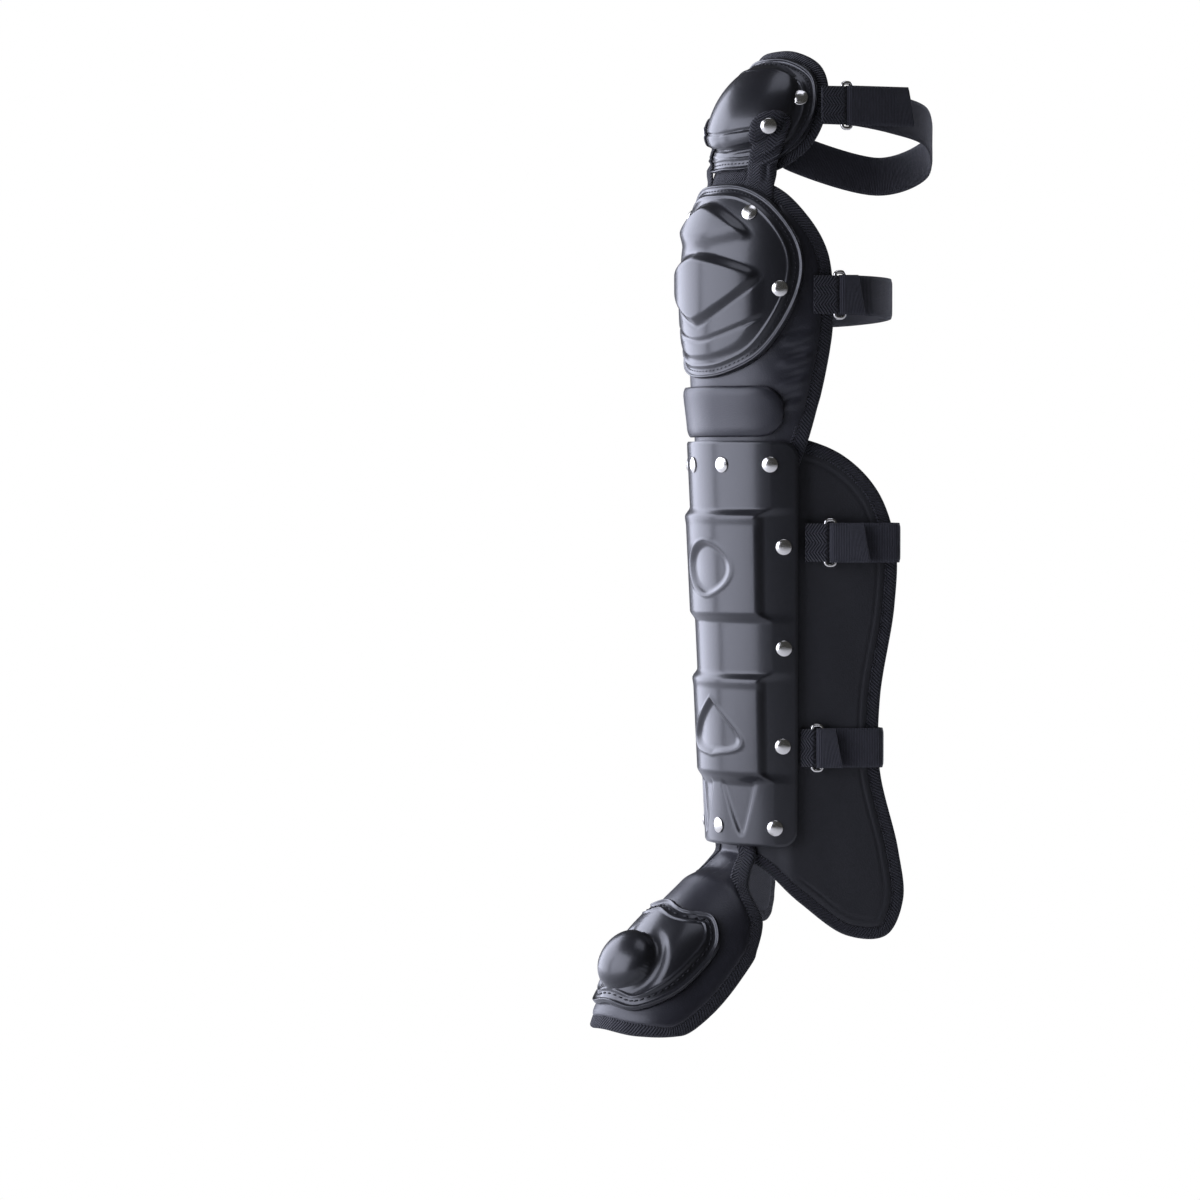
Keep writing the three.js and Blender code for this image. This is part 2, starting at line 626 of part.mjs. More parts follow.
function addFoot() {
  const inset = TAPE_WIDTH + TAPE_GAP;
  addPiece('foot_pad', sheetGeometry(
    flapSurface, ringChart(flapOutline, FLAP_LENGTH * 0.5, PAD_RINGS.foot, inset),
    ({ up, ring }) => padLifts(ring, ...flapRange(up)),
  ), 'vinyl');
  addPiece('foot_binding', tapeGeometry(flapSurface, flapOutline, PAD_RINGS.foot, (along) => {
    const [low, high] = flapRange(along);
    return (low + high) / 2;
  }), 'tape');
  addPiece('toe_cap', sheetGeometry(
    flapSurface, ringChart(toeCapOutline, FLAP_LENGTH * 0.68, CAP_RINGS.toe),
    ({ across, up, ring }) => {
      const away = Math.hypot(across, up - FLAP_LENGTH * 0.72) / TOE_BUMP_RADIUS;
      const bump = TOE_BUMP_HEIGHT * Math.sqrt(Math.max(0, 1 - away ** 2));
      const swell = 5 * Math.max(0, 1 - ring ** 2.5) + bump;
      const base = FLAP_THICKNESS + TOUCH;
      return [base + swell, base + CAP_WALL + swell + capRim(ring)];
    },
  ), 'shell');
}

const caster = new THREE.Raycaster();

// The height of a built piece above a point, along a direction, or null beside it.
function heightOn(piece, point, normal) {
  caster.set(point.clone().addScaledVector(normal, 60), normal.clone().negate());
  const [hit] = caster.intersectObject(piece);
  return hit ? 60 - hit.distance : null;
}

// A rivet's domed head, seated square on the piece that it fastens.
function addRivet(name, piece, surface, across, up) {
  const { point, normal } = surface(across, up);
  const upward = new THREE.Vector3(0, 0, 1).addScaledVector(normal, -normal.z).normalize();
  const sideways = upward.clone().cross(normal);
  const reach = RIVET_RADIUS * 0.9;
  const sample = (side, rise, facing) => heightOn(
    piece, point.clone().addScaledVector(sideways, side).addScaledVector(upward, rise), facing,
  );
  const slopeSide = (sample(reach, 0, normal) - sample(-reach, 0, normal)) / (2 * reach);
  const slopeUp = (sample(0, reach, normal) - sample(0, -reach, normal)) / (2 * reach);
  const facing = normal.clone().addScaledVector(sideways, -slopeSide)
    .addScaledVector(upward, -slopeUp).normalize();
  const seat = point.clone().addScaledVector(normal, sample(0, 0, normal));
  const across1 = sideways.clone().addScaledVector(facing, -sideways.dot(facing)).normalize();
  const across2 = facing.clone().cross(across1);
  let proud = 0;
  for (let step = 0; step < 32; step += 1) {
    const turn = step * Math.PI / 8;
    const out = step < 16 ? RIVET_RADIUS : RIVET_RADIUS * 0.6;
    const under = seat.clone().addScaledVector(across1, out * Math.cos(turn))
      .addScaledVector(across2, out * Math.sin(turn));
    proud = Math.max(proud, heightOn(piece, under, facing) ?? 0);
  }
  const profile = [
    new THREE.Vector2(0, 0), new THREE.Vector2(RIVET_RADIUS, 0),
    new THREE.Vector2(RIVET_RADIUS * 0.72, RIVET_HEIGHT * 0.72), new THREE.Vector2(0, RIVET_HEIGHT),
  ];
  const mesh = addPiece(name, new THREE.LatheGeometry(profile, 8), 'nickel');
  mesh.position.copy(seat).addScaledVector(facing, proud + TOUCH);
  mesh.quaternion.setFromUnitVectors(new THREE.Vector3(0, 1, 0), facing);
}

const SHELL_RIVETS = [
  { row: 'top', up: SHELL_TOP - 16, angles: [-43, -14, 14, 43] },
  { row: 'upper', up: shellUp(0.74), angles: [-50, 50] },
  { row: 'middle', up: shellUp(0.491), angles: [-50, 50] },
  { row: 'lower', up: shellUp(0.249), angles: [-49, 49] },
  { row: 'bottom', up: SHELL_BOTTOM + 13, angles: [-44, 0, 44] },
];
const CAP_RIVETS = [
  { row: 'knee_top', up: lerp(KNEE_CAP_BOTTOM, KNEE_CAP_TOP, 0.842), angle: 31 },
  { row: 'knee_side', up: lerp(KNEE_CAP_BOTTOM, KNEE_CAP_TOP, 0.451), angle: 48.5 },
];
const THIGH_RIVET = { up: lerp(THIGH_CAP_BOTTOM, THIGH_CAP_TOP, 0.662), angle: 41.5 };
const LINK_RIVET_UP = LINK_TOP - 11;

function addRivets(pieces) {
  for (const { row, up, angles } of SHELL_RIVETS) {
    angles.forEach((angle, index) => {
      const across = rad(angle) * CALF_RADIUS;
      addRivet(`rivet_${row}_${index + 1}`, pieces.shell, legSurface, across, up);
    });
  }
  for (const side of [-1, 1]) {
    const name = side > 0 ? 'left' : 'right';
    for (const { row, up, angle } of CAP_RIVETS) {
      const across = side * rad(angle) * CALF_RADIUS;
      addRivet(`rivet_${row}_${name}`, pieces.kneeCap, legSurface, across, up);
    }
    const across = side * rad(THIGH_RIVET.angle) * CALF_RADIUS;
    addRivet(`rivet_thigh_${name}`, pieces.thighCap, thighSurface, across, THIGH_RIVET.up);
  }
}

// Each webbing link runs from under the knee cap up over the thigh cap.
function addLinks(pieces) {
  const columns = 4;
  const rows = 12;
  const half = LINK_HALF_ANGLE * CALF_RADIUS;
  for (const side of [-1, 1]) {
    const name = side > 0 ? 'left' : 'right';
    const middle = side * LINK_ANGLE * CALF_RADIUS;
    const linkSurface = (across, up) => {
      const knee = legSurface(across, up);
      const low = knee.point.clone().addScaledVector(
        knee.normal, PAD_THICKNESS - LINK_THICKNESS - TOUCH,
      );
      const thigh = thighSurface(across, Math.max(up, THIGH_CAP_BOTTOM + 3));
      const onCap = heightOn(pieces.thighCap, thigh.point, thigh.normal) ?? PAD_THICKNESS + 3;
      const high = thigh.point.clone().addScaledVector(thigh.normal, onCap + LINK_SEAT);
      high.z = up;
      const share = smoothstep(up, KNEE_CAP_TOP - 4, THIGH_CAP_BOTTOM);
      return { point: low.lerp(high, share), normal: knee.normal };
    };
    const chart = {
      columns,
      rows,
      spot(column, row) {
        const up = lerp(LINK_BOTTOM, LINK_TOP, row / rows);
        const round = Math.max(0, up - LINK_TOP + half) / half;
        const width = half * Math.sqrt(Math.max(0.08, 1 - round ** 2));
        return { across: middle + (column / columns * 2 - 1) * width, up };
      },
    };
    const link = addPiece(`link_${name}`, sheetGeometry(
      linkSurface, chart, () => [0, LINK_THICKNESS],
    ), 'webbing');
    addRivet(`rivet_link_${name}`, link, thighSurface, middle, LINK_RIVET_UP);
  }
}

// Straps run from a ring on the wearer's left round the leg's back to a buckle on the right.
// start is the angle round the leg, flare the share of outward lean, depth how far back it goes,
// edgeDrop how much lower the pad lies at its edge, and dip how far the buckle points down.
const thighUp = (share) => lerp(THIGH_PAD_BOTTOM, THIGH_PAD_TOP, share);
const kneeUp = (share) => lerp(KNEE_CAP_BOTTOM, KNEE_CAP_TOP, share);
const LEG_STRAPS = [
  {
    name: 'thigh', surface: thighSurface, up: thighUp(0.535), back: thighUp(0.07),
    other: thighUp(0.56), start: rad(57), flare: 0.2, depth: 106, tail: 46, edgeDrop: 0,
    dip: rad(26),
  },
  {
    name: 'knee', surface: legSurface, up: kneeUp(0.421), back: kneeUp(0.391),
    other: kneeUp(0.421), start: rad(66), flare: 0.3, depth: 58, tail: 14, edgeDrop: 0.7,
    dip: 0,
  },
];
const SHIN_STRAPS = [
  { name: 'calf', up: shellUp(0.751), reach: 0.98, tail: 24, tab: 1 },
  { name: 'ankle', up: shellUp(0.2455), reach: 0.82, tail: 14, tab: 0.5 },
];
const TAB_LENGTH = 13;
const BUCKLE_TAB_LENGTH = 8;
const UP = new THREE.Vector3(0, 0, 1);

function vector(x, y, z) {
  return new THREE.Vector3(x, y, z);
}

function mirrored({ x, y, z }) {
  return vector(-x, y, z);
}

// A rectangular wire ring that stands on edge, its long sides along the strap's width.
function addRing(name, centre, along, outFace) {
  const halfLong = STRAP_WIDTH / 2 + WIRE;
  const halfShort = RING_OPENING / 2 + WIRE / 2;
  const corner = 2.6;
  const sides = 5;
  const sections = [];
  for (let quarter = 0; quarter < 4; quarter += 1) {
    for (let step = 0; step <= 2; step += 1) {
      const turn = (quarter + step / 2) * Math.PI / 2;
      const signLong = quarter === 0 || quarter === 3 ? 1 : -1;
      const signShort = quarter < 2 ? 1 : -1;
      const outward = UP.clone().multiplyScalar(Math.cos(turn))
        .addScaledVector(along, Math.sin(turn));
      const middle = centre.clone()
        .addScaledVector(UP, signLong * (halfLong - corner))
        .addScaledVector(along, signShort * (halfShort - corner))
        .addScaledVector(outward, corner);
      const section = [];
      for (let side = 0; side < sides; side += 1) {
        const around = (side / sides) * Math.PI * 2;
        section.push(middle.clone()
          .addScaledVector(outward, Math.cos(around) * WIRE / 2)
          .addScaledVector(outFace, Math.sin(around) * WIRE / 2));
      }
      sections.push(section);
    }
  }
  addPiece(name, loftGeometry(sections, true), 'nickel');
}

// The buckle's plate: two halves that meet, with a notch on each side.
function addBuckle(name, centre, along, outFace) {
  const bevel = 1;
  const half = BUCKLE_LENGTH / 2 - bevel;
  const wide = BUCKLE_WIDTH / 2 - bevel;
  const side = [
    [-half, wide - 3], [-half + 3, wide], [-5, wide], [-3, wide - 5], [half * 0.4, wide - 6],
    [half * 0.55, wide], [half, wide - 3],
  ];
  const outline = new THREE.Shape();
  outline.moveTo(...side[0]);
  side.slice(1).forEach((point) => outline.lineTo(...point));
  [...side].reverse().forEach(([x, y]) => outline.lineTo(x, -y));
  outline.closePath();
  const geometry = new THREE.ExtrudeGeometry(outline, {
    depth: BUCKLE_THICKNESS - 2 * bevel, bevelThickness: bevel, bevelSize: bevel,
    bevelSegments: 1, steps: 1,
  });
  geometry.translate(0, 0, bevel - BUCKLE_THICKNESS / 2);
  const mesh = addPiece(name, geometry, 'plastic');
  mesh.position.copy(centre);
  const basis = new THREE.Matrix4().makeBasis(along, outFace.clone().cross(along), outFace);
  mesh.quaternion.setFromRotationMatrix(basis);
}

// start: where the tab leaves the pad; tabEnd: where it meets the ring; loop: from there on back.
function addStrap({
  name, start, tabEnd, along, otherAlong, tail, loop, buckleStart, buckleTabStart, sink,
}) {
  const outFace = along.clone().cross(UP);
  addPiece(`ring_tab_${name}`, bandGeometry(
    [start, start.clone().lerp(tabEnd, 0.5), tabEnd], STRAP_WIDTH - 1, STRAP_THICKNESS,
  ), 'webbing');
  const toRing = RING_OPENING / 2 + WIRE + TOUCH;
  const ringCentre = tabEnd.clone().addScaledVector(along, toRing);
  addRing(`ring_${name}`, ringCentre, along, outFace);
  const bar = ringCentre.clone().addScaledVector(along, RING_OPENING / 2 + WIRE / 2);
  const wrap = WIRE / 2 + TOUCH * 1.5 + STRAP_THICKNESS / 2;
  const around = [];
  for (let step = 0; step <= 6; step += 1) {
    const turn = (step / 6) * Math.PI;
    around.push(bar.clone().addScaledVector(outFace, wrap * Math.cos(turn))
      .addScaledVector(along, -wrap * Math.sin(turn)));
  }
  const outer = around[0];
  const inner = around[around.length - 1];
  const tailEnd = [1, 0.66, 0.33].map((share) => (
    outer.clone().addScaledVector(along, tail * share)
      .addScaledVector(outFace, 0.8 * share)));
  const back = new THREE.CatmullRomCurve3([
    inner, inner.clone().addScaledVector(along, 4), ...loop(inner),
    buckleStart.clone().addScaledVector(otherAlong, 5), buckleStart,
  ], false, 'centripetal');
  const backPoints = back.getPoints(3 * (back.points.length - 1)).slice(1);
  addPiece(`strap_${name}`, bandGeometry(
    [...tailEnd, ...around, ...backPoints], STRAP_WIDTH, STRAP_THICKNESS,
  ), 'elastic');
  const otherFace = mirrored(outFace);
  const plate = buckleStart.clone().addScaledVector(otherAlong, -BUCKLE_LENGTH / 2 - BUCKLE_GAP);
  const plateMiddle = plate.clone().addScaledVector(otherFace, sink);
  addBuckle(`buckle_${name}`, plateMiddle, otherAlong, otherFace);
  const tabTop = plate.clone().addScaledVector(otherAlong, -BUCKLE_LENGTH / 2 - BUCKLE_GAP);
  addPiece(`buckle_tab_${name}`, bandGeometry(
    [tabTop, tabTop.clone().addScaledVector(otherAlong, -1.5), buckleTabStart],
    STRAP_WIDTH - 1, STRAP_THICKNESS,
  ), 'webbing');
}

// Thigh and knee straps.
function addLegStrap({
  name, surface, up, back, other, start, flare, depth, tail, edgeDrop, dip,
}) {
  const onPad = PAD_THICKNESS - edgeDrop + TOUCH + STRAP_THICKNESS / 2;
  const tabStart = raised(surface, start * CALF_RADIUS, up, onPad);
  const along = vector(flare, Math.sqrt(1 - flare ** 2), 0);
  const outFace = along.clone().cross(UP);
  const tabEnd = tabStart.clone().addScaledVector(along, TAB_LENGTH).addScaledVector(outFace, 1);
  const clear = Math.sin(dip);
  const otherStart = mirrored(raised(surface, start * CALF_RADIUS, other, onPad + clear));
  const otherAlong = mirrored(along).multiplyScalar(Math.cos(dip))
    .addScaledVector(UP, -Math.sin(dip));
  const dropped = (share) => lerp(up, back, share);
  const plateTop = otherStart.clone().addScaledVector(otherAlong, BUCKLE_TAB_LENGTH)
    .addScaledVector(mirrored(outFace), 1);
  const buckleStart = plateTop.clone().addScaledVector(otherAlong, BUCKLE_LENGTH + 2 * TOUCH);
  addStrap({
    name,
    start: tabStart,
    tabEnd,
    along,
    otherAlong,
    tail,
    buckleStart,
    buckleTabStart: otherStart,
    sink: 1.5,
    loop: (inner) => {
      const width = inner.x;
      const room = depth - inner.y;
      return [
        vector(width * 1.03, inner.y + room * 0.35, dropped(0.1)),
        vector(width * 0.8, inner.y + room * 0.74, dropped(0.28)),
        vector(width * 0.1, depth, dropped(0.75)),
        vector(-width * 0.66, inner.y + room * 0.88, dropped(1)),
      ];
    },
  });
}

// Calf and ankle straps lie on the wings and fold round their edges.
function addShinStrap({ name, up, reach, tail, tab }) {
  const on = (beyond, lift) => raised(legSurface, WING_START + beyond, up, lift);
  const flat = WING_THICKNESS + TOUCH * 2 + STRAP_THICKNESS / 2;
  const ringLift = flat + WIRE / 2 + TOUCH * 1.5 + STRAP_THICKNESS / 2;
  const along = vector(Math.cos(SHELL_ANGLE), Math.sin(SHELL_ANGLE), 0);
  const edge = reach * WING_REACH;
  const middle = WING_THICKNESS / 2;
  const round = [
    on(edge - 3, flat), on(edge + 1.1, flat - 1.1), on(edge + STRAP_THICKNESS * 0.5 + 1.4, middle),
    on(edge + 0.8, -0.3),
  ];
  const backEdge = round[3];
  const sink = WING_THICKNESS + TOUCH * 2.5 + BUCKLE_THICKNESS / 2 - flat;
  const plateStart = edge - 7;
  addStrap({
    name,
    start: on(5 * tab, flat),
    tabEnd: on(17 * tab, ringLift),
    along,
    otherAlong: mirrored(along),
    tail,
    buckleStart: mirrored(on(plateStart, flat)),
    buckleTabStart: mirrored(on(1.5, flat)),
    sink,
    loop: () => [
      ...round,
      vector(backEdge.x * 0.55, backEdge.y + 9, up),
      vector(0, backEdge.y + 12, up),
      vector(-backEdge.x * 0.55, backEdge.y + 9, up),
      ...[...round].reverse().map(mirrored),
    ],
  });
}

const pieces = {};
addThigh();
addKnee();
addShin();
addFoot();
legGuard.updateMatrixWorld(true);
addRivets(pieces);
addLinks(pieces);
LEG_STRAPS.forEach(addLegStrap);
SHIN_STRAPS.forEach(addShinStrap);
legGuard.position.y = SEAT_DEPTH;

export default guard;
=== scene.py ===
"""Catcher leg guard: moulded shells, padded cloth, bindings, straps and studio stage."""

import math

import bmesh
import bpy
import numpy as np
from mathutils import Matrix, Vector


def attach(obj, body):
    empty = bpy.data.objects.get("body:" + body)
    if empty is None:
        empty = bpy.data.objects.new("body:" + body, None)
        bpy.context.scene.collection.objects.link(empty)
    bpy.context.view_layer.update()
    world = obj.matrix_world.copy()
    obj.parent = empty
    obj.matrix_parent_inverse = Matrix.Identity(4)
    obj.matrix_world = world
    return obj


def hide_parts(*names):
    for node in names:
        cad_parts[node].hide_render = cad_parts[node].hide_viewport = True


bl_info = {
    "name": "Catcher Leg Guard",
    "version": (1, 0, 0),
    "blender": (4, 5, 0),
    "location": "View3D > Sidebar > Leg Guard",
    "description": "Builds the shells, pads, bindings, straps and fittings of a catcher leg guard",
    "category": "Add Mesh",
}

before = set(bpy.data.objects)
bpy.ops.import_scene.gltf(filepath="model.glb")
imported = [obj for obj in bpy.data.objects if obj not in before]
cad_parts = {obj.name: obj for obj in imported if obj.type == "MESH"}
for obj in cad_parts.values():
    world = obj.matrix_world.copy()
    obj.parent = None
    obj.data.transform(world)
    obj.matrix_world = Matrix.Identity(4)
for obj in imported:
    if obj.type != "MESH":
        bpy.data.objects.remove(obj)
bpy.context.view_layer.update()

# Sizes below are millimetres in the leg's own frame: the front faces -Y and the axis is x = y = 0.
MM = 0.001
CALF_RADIUS, ANKLE_RADIUS, KNEE_RADIUS = 60.4, 47.4, 64.0
KNEE_TOP_RADIUS, THIGH_RADIUS = 50.0, 50.0
THIGH_LEAN = math.radians(24)
SHELL_TOP, SHELL_BOTTOM = 21.0, -256.0
PANEL_TOP, PANEL_BOTTOM = 27.0, -321.0
KNEE_PAD_TOP, KNEE_TONGUE = 203.0, 38.0
KNEE_CAP_TOP, KNEE_CAP_BOTTOM, KNEE_SHOULDER = 197.0, 64.0, 142.0
BADGE_TOP, BADGE_BOTTOM = 58.5, 24.0
THIGH_PAD_TOP, THIGH_PAD_BOTTOM = 290.0, 204.0
THIGH_CAP_TOP, THIGH_CAP_BOTTOM = 280.0, 206.0
SHELL_ANGLE, KNEE_PAD_ANGLE, KNEE_CAP_ANGLE = (math.radians(a) for a in (58, 78, 61))
BADGE_ANGLE, THIGH_PAD_ANGLE, THIGH_CAP_ANGLE = (math.radians(a) for a in (50, 63, 54.5))
LEG_BEND = math.radians(82)
WING_START, WING_REACH = SHELL_ANGLE * CALF_RADIUS, 68.0
PAD_THICKNESS, PANEL_THICKNESS, WING_THICKNESS = 9.0, 8.0, 7.0
TONGUE_THICKNESS, TONGUE_SEAT, SHELL_SEAT = 4.3, 5.2, 9.9
SHELL_WALL, CAP_WALL, TOUCH = 2.5, 2.4, 0.3
TAPE_THICKNESS = 4.3
FLAP_REACH, FLAP_DROP, FLAP_TUCK = 92.0, 112.0, 14.0
FLAP_HALF_WIDTH, FLAP_NECK_HALF_WIDTH, FLAP_THICKNESS = 70.0, 23.0, 7.0
TOE_CAP_HALF_WIDTH, TOE_BUMP_HEIGHT, TOE_BUMP_RADIUS = 47.0, 13.0, 21.0
STRAP_WIDTH, STRAP_THICKNESS, WIRE, RING_OPENING = 27.0, 1.8, 2.6, 4.0
BUCKLE_LENGTH, BUCKLE_THICKNESS, BUCKLE_GAP = 42.0, 9.0, 0.8
BADGE_SEAT, BADGE_PUFF, THIGH_CAP_SEAT = 10.1, 2.8, 7.35
LINK_WIDTH, LINK_THICKNESS, LINK_BOTTOM, LINK_TOP = 21.0, 1.9, 174.0, 246.0
LINK_ANGLE = math.radians(32)
RIVET_RADIUS, RIVET_HEIGHT = 5.5, 2.1
SHELL_CORNER, BADGE_CORNER = 11.0, 15.0
KNEE_CAP_MIDDLE = (KNEE_CAP_TOP + KNEE_CAP_BOTTOM) / 2
KNEE_CAP_HALF = (KNEE_CAP_TOP - KNEE_CAP_BOTTOM) / 2
# How far inside its outline a pad's cover ends, and where a cap's stitched groove runs.
PAD_INSET, CAP_GROOVE = 6.5, 4.9
# The share of a tape's section that is its rounded fold.
TAPE_FOLD = 0.28
# How far sewn threads stand off their cloth, and a link off the cap below it.
SEAM_PROUD, LINK_GAP = 0.05, 0.5
TAB_WIDTH, TAB_THICKNESS, TAB_LIFT = STRAP_WIDTH - 1, 1.3, 0.75
UP = np.array([0.0, 0.0, 1.0])

# Half outlines from the top centre down one side to the bottom centre, as shares of the size.
KNEE_CAP_ROWS = [
    (0, 1), (0.38, 0.985), (0.68, 0.905), (0.93, 0.73), (1, 0.56), (0.9, 0.34), (0.62, 0.11),
    (0.3, 0.02), (0, 0),
]
KNEE_PAD_ROWS = [
    (0, 1), (0.36, 0.985), (0.62, 0.945), (0.82, 0.865), (0.95, 0.77), (1, 0.66), (1, 0.52),
    (0.92, 0.33), (0.83, 0.18), (0.7, 0.07), (0.42, 0.01), (0, 0),
]
THIGH_PAD_ROWS = [
    (0, 1), (0.35, 0.98), (0.72, 0.86), (0.92, 0.66), (1, 0.4), (0.95, 0.2), (0.76, 0.05),
    (0.4, -0.05), (0, -0.06),
]
THIGH_CAP_ROWS = [
    (0, 1.07), (0.42, 1.04), (0.82, 0.87), (1, 0.54), (0.93, 0.26), (0.68, 0.05), (0.35, 0), (0, 0),
]
# The panel's first number is the reach past the shell's edge; -1 is the leg's centre line.
PANEL_ROWS = [
    (-1, 1), (-0.4, 0.998), (0, 0.99), (0.45, 0.955), (0.8, 0.885), (0.98, 0.78), (0.97, 0.66),
    (0.83, 0.48), (0.83, 0.34), (1.02, 0.18), (1.07, 0.08), (0.9, 0.01), (0.5, 0.01),
    (-0.05, 0.085), (-0.5, 0.14), (-1, 0.165),
]
FLAP_LINE = [
    (0.07, 0.115), (0.26, 0.25), (0.48, 0.4), (0.67, 0.6), (0.86, 0.8), (1.02, 0.99), (1.09, 1.13),
]
FLAP_ROWS = [
    (0, 0), (0.26, 0.005), (0.34, 0.1), (0.5, 0.22), (0.86, 0.31), (1, 0.43), (1, 0.6),
    (0.93, 0.78), (0.76, 0.925), (0.42, 0.975), (0, 0.98),
]
TOE_CAP_ROWS = [
    (0, 0.43), (0.35, 0.45), (0.75, 0.42), (1, 0.5), (1, 0.63), (0.85, 0.78), (0.5, 0.885),
    (0, 0.89),
]


def mix(low, high, share):
    return low + (high - low) * share


def smooth(value, low, high):
    share = np.clip((value - low) / (high - low), 0, 1)
    return share * share * (3 - 2 * share)


def inside(distance, half, edge):
    """1 within half of the middle, 0 outside, with a shoulder as wide as edge."""
    return 1 - smooth(np.abs(distance), half - edge / 2, half + edge / 2)


def bump(distance, half):
    """A rounded ridge of height 1 and the given half width."""
    return 0.5 + 0.5 * np.cos(np.pi * np.clip(np.abs(distance) / half, 0, 1))


def curve_through(points, closed, steps=24):
    """A centripetal Catmull-Rom curve as a dense list of points."""
    points = np.asarray(points, float)
    if closed:
        knots = np.vstack([points[-1:], points, points[:2]])
    else:
        knots = np.vstack([2 * points[:1] - points[1:2], points, 2 * points[-1:] - points[-2:-1]])
    dense = []
    for a, b, c, d in zip(knots, knots[1:], knots[2:], knots[3:]):
        t1 = np.linalg.norm(b - a) ** 0.5
        t2 = t1 + np.linalg.norm(c - b) ** 0.5
        t3 = t2 + np.linalg.norm(d - c) ** 0.5
        t = np.linspace(t1, t2, steps, endpoint=False)[:, None]
        ab = a + (b - a) * t / t1
        bc = b + (c - b) * (t - t1) / (t2 - t1)
        cd = c + (d - c) * (t - t2) / (t3 - t2)
        abc = ab + (bc - ab) * t / t2
        bcd = bc + (cd - bc) * (t - t1) / (t3 - t1)
        dense.append(abc + (bcd - abc) * (t - t1) / (t2 - t1))
    if not closed:
        dense.append(points[-1:])
    return np.vstack(dense)


def evenly(points, count):
    """The same line as count points at even steps along it."""
    steps = np.linalg.norm(np.diff(points, axis=0), axis=1)
    along = np.concatenate([[0], np.cumsum(steps)])
    wanted = np.linspace(0, along[-1], count)
    return np.stack([np.interp(wanted, along, column) for column in points.T], axis=1)


class Outline:
    """A closed outline on a flat chart, symmetrical about its centre line."""

    COUNT = 900

    def __init__(self, half):
        half = [tuple(row) for row in half]
        other = [(-across, up) for across, up in half[-2:0:-1]]
        dense = curve_through(half + other, True)
        self.points = evenly(np.vstack([dense, dense[:1]]), self.COUNT + 1)
        steps = np.linalg.norm(np.diff(self.points, axis=0), axis=1)
        self.length = steps.sum()
        ahead = np.roll(self.points[:-1], -1, axis=0) - np.roll(self.points[:-1], 1, axis=0)
        ahead /= np.linalg.norm(ahead, axis=1)[:, None]
        inward = np.stack([-ahead[:, 1], ahead[:, 0]], axis=1)
        middle = self.points.mean(axis=0)
        if np.sum((middle - self.points[:-1]) * inward) < 0:
            inward = -inward
        self.inward = np.vstack([inward, inward[:1]])

    def at(self, share, inset=0.0):
        place = (np.asarray(share, float) % 1.0) * self.COUNT
        index = np.arange(self.COUNT + 1)
        point = np.stack([np.interp(place, index, column) for column in self.points.T])
        inward = np.stack([np.interp(place, index, column) for column in self.inward.T])
        return point + inward * inset

    def inset_of(self, across, up):
        """How far each point of the chart lies inside the outline."""
        nearest = np.empty(len(across))
        for start in range(0, len(across), 4000):
            part = slice(start, start + 4000)
            gap_across = across[part, None] - self.points[None, :-1, 0]
            gap_up = up[part, None] - self.points[None, :-1, 1]
            nearest[part] = np.sqrt((gap_across**2 + gap_up**2).min(axis=1))
        return nearest


def share_rows(rows, half, bottom, top):
    return Outline([(out * half, mix(bottom, top, up)) for out, up in rows])


def leg_radius(up):
    low = mix(ANKLE_RADIUS, CALF_RADIUS, (up - SHELL_BOTTOM) / (SHELL_TOP - SHELL_BOTTOM))
    knee = mix(CALF_RADIUS, KNEE_RADIUS, smooth(up, SHELL_TOP, KNEE_CAP_BOTTOM))
    over = np.clip((up - KNEE_SHOULDER) / (KNEE_PAD_TOP - KNEE_SHOULDER), 0, 1)
    return np.where(up < SHELL_TOP, low, knee - (KNEE_RADIUS - KNEE_TOP_RADIUS) * over**2)


SEAT_DEPTH = float(leg_radius(np.array(0.0)))


def leg_surface(across, up):
    """The lining's inner face: an arc round the leg that runs on straight as side wings."""
    radius = leg_radius(up)
    bend = mix(SHELL_ANGLE, LEG_BEND, smooth(up, SHELL_TOP + 6, KNEE_CAP_BOTTOM + 8))
    turned = np.clip(across / CALF_RADIUS, -bend, bend)
    beyond = across - turned * CALF_RADIUS
    x = radius * np.sin(turned) + beyond * np.cos(turned)
    y = -radius * np.cos(turned) + beyond * np.sin(turned)
    normal = np.stack([np.sin(turned), -np.cos(turned), np.zeros_like(turned)], axis=-1)
    return np.stack([x, y, up + 0 * x], axis=-1), normal


def thigh_surface(across, up):
    angle = across / CALF_RADIUS
    lean = (up - THIGH_PAD_BOTTOM) * math.tan(THIGH_LEAN)
    normal = np.stack([np.sin(angle), -np.cos(angle), np.zeros_like(angle)], axis=-1)
    point = normal * THIGH_RADIUS
    point[..., 1] += lean
    point[..., 2] = up
    return point, normal


FLAP_RADIUS = ANKLE_RADIUS + TONGUE_SEAT
FLAP_KNOTS = [
    (-float(leg_radius(np.array(SHELL_BOTTOM + above))) - TONGUE_SEAT, SHELL_BOTTOM + above)
    for above in (FLAP_TUCK, FLAP_TUCK / 2, 0, -6)
] + [
    (-FLAP_RADIUS - forward * FLAP_REACH, SHELL_BOTTOM - down * FLAP_DROP)
    for forward, down in FLAP_LINE
]
FLAP_PATH = evenly(curve_through(FLAP_KNOTS, False), 400)
FLAP_LENGTH = float(np.linalg.norm(np.diff(FLAP_PATH, axis=0), axis=1).sum())


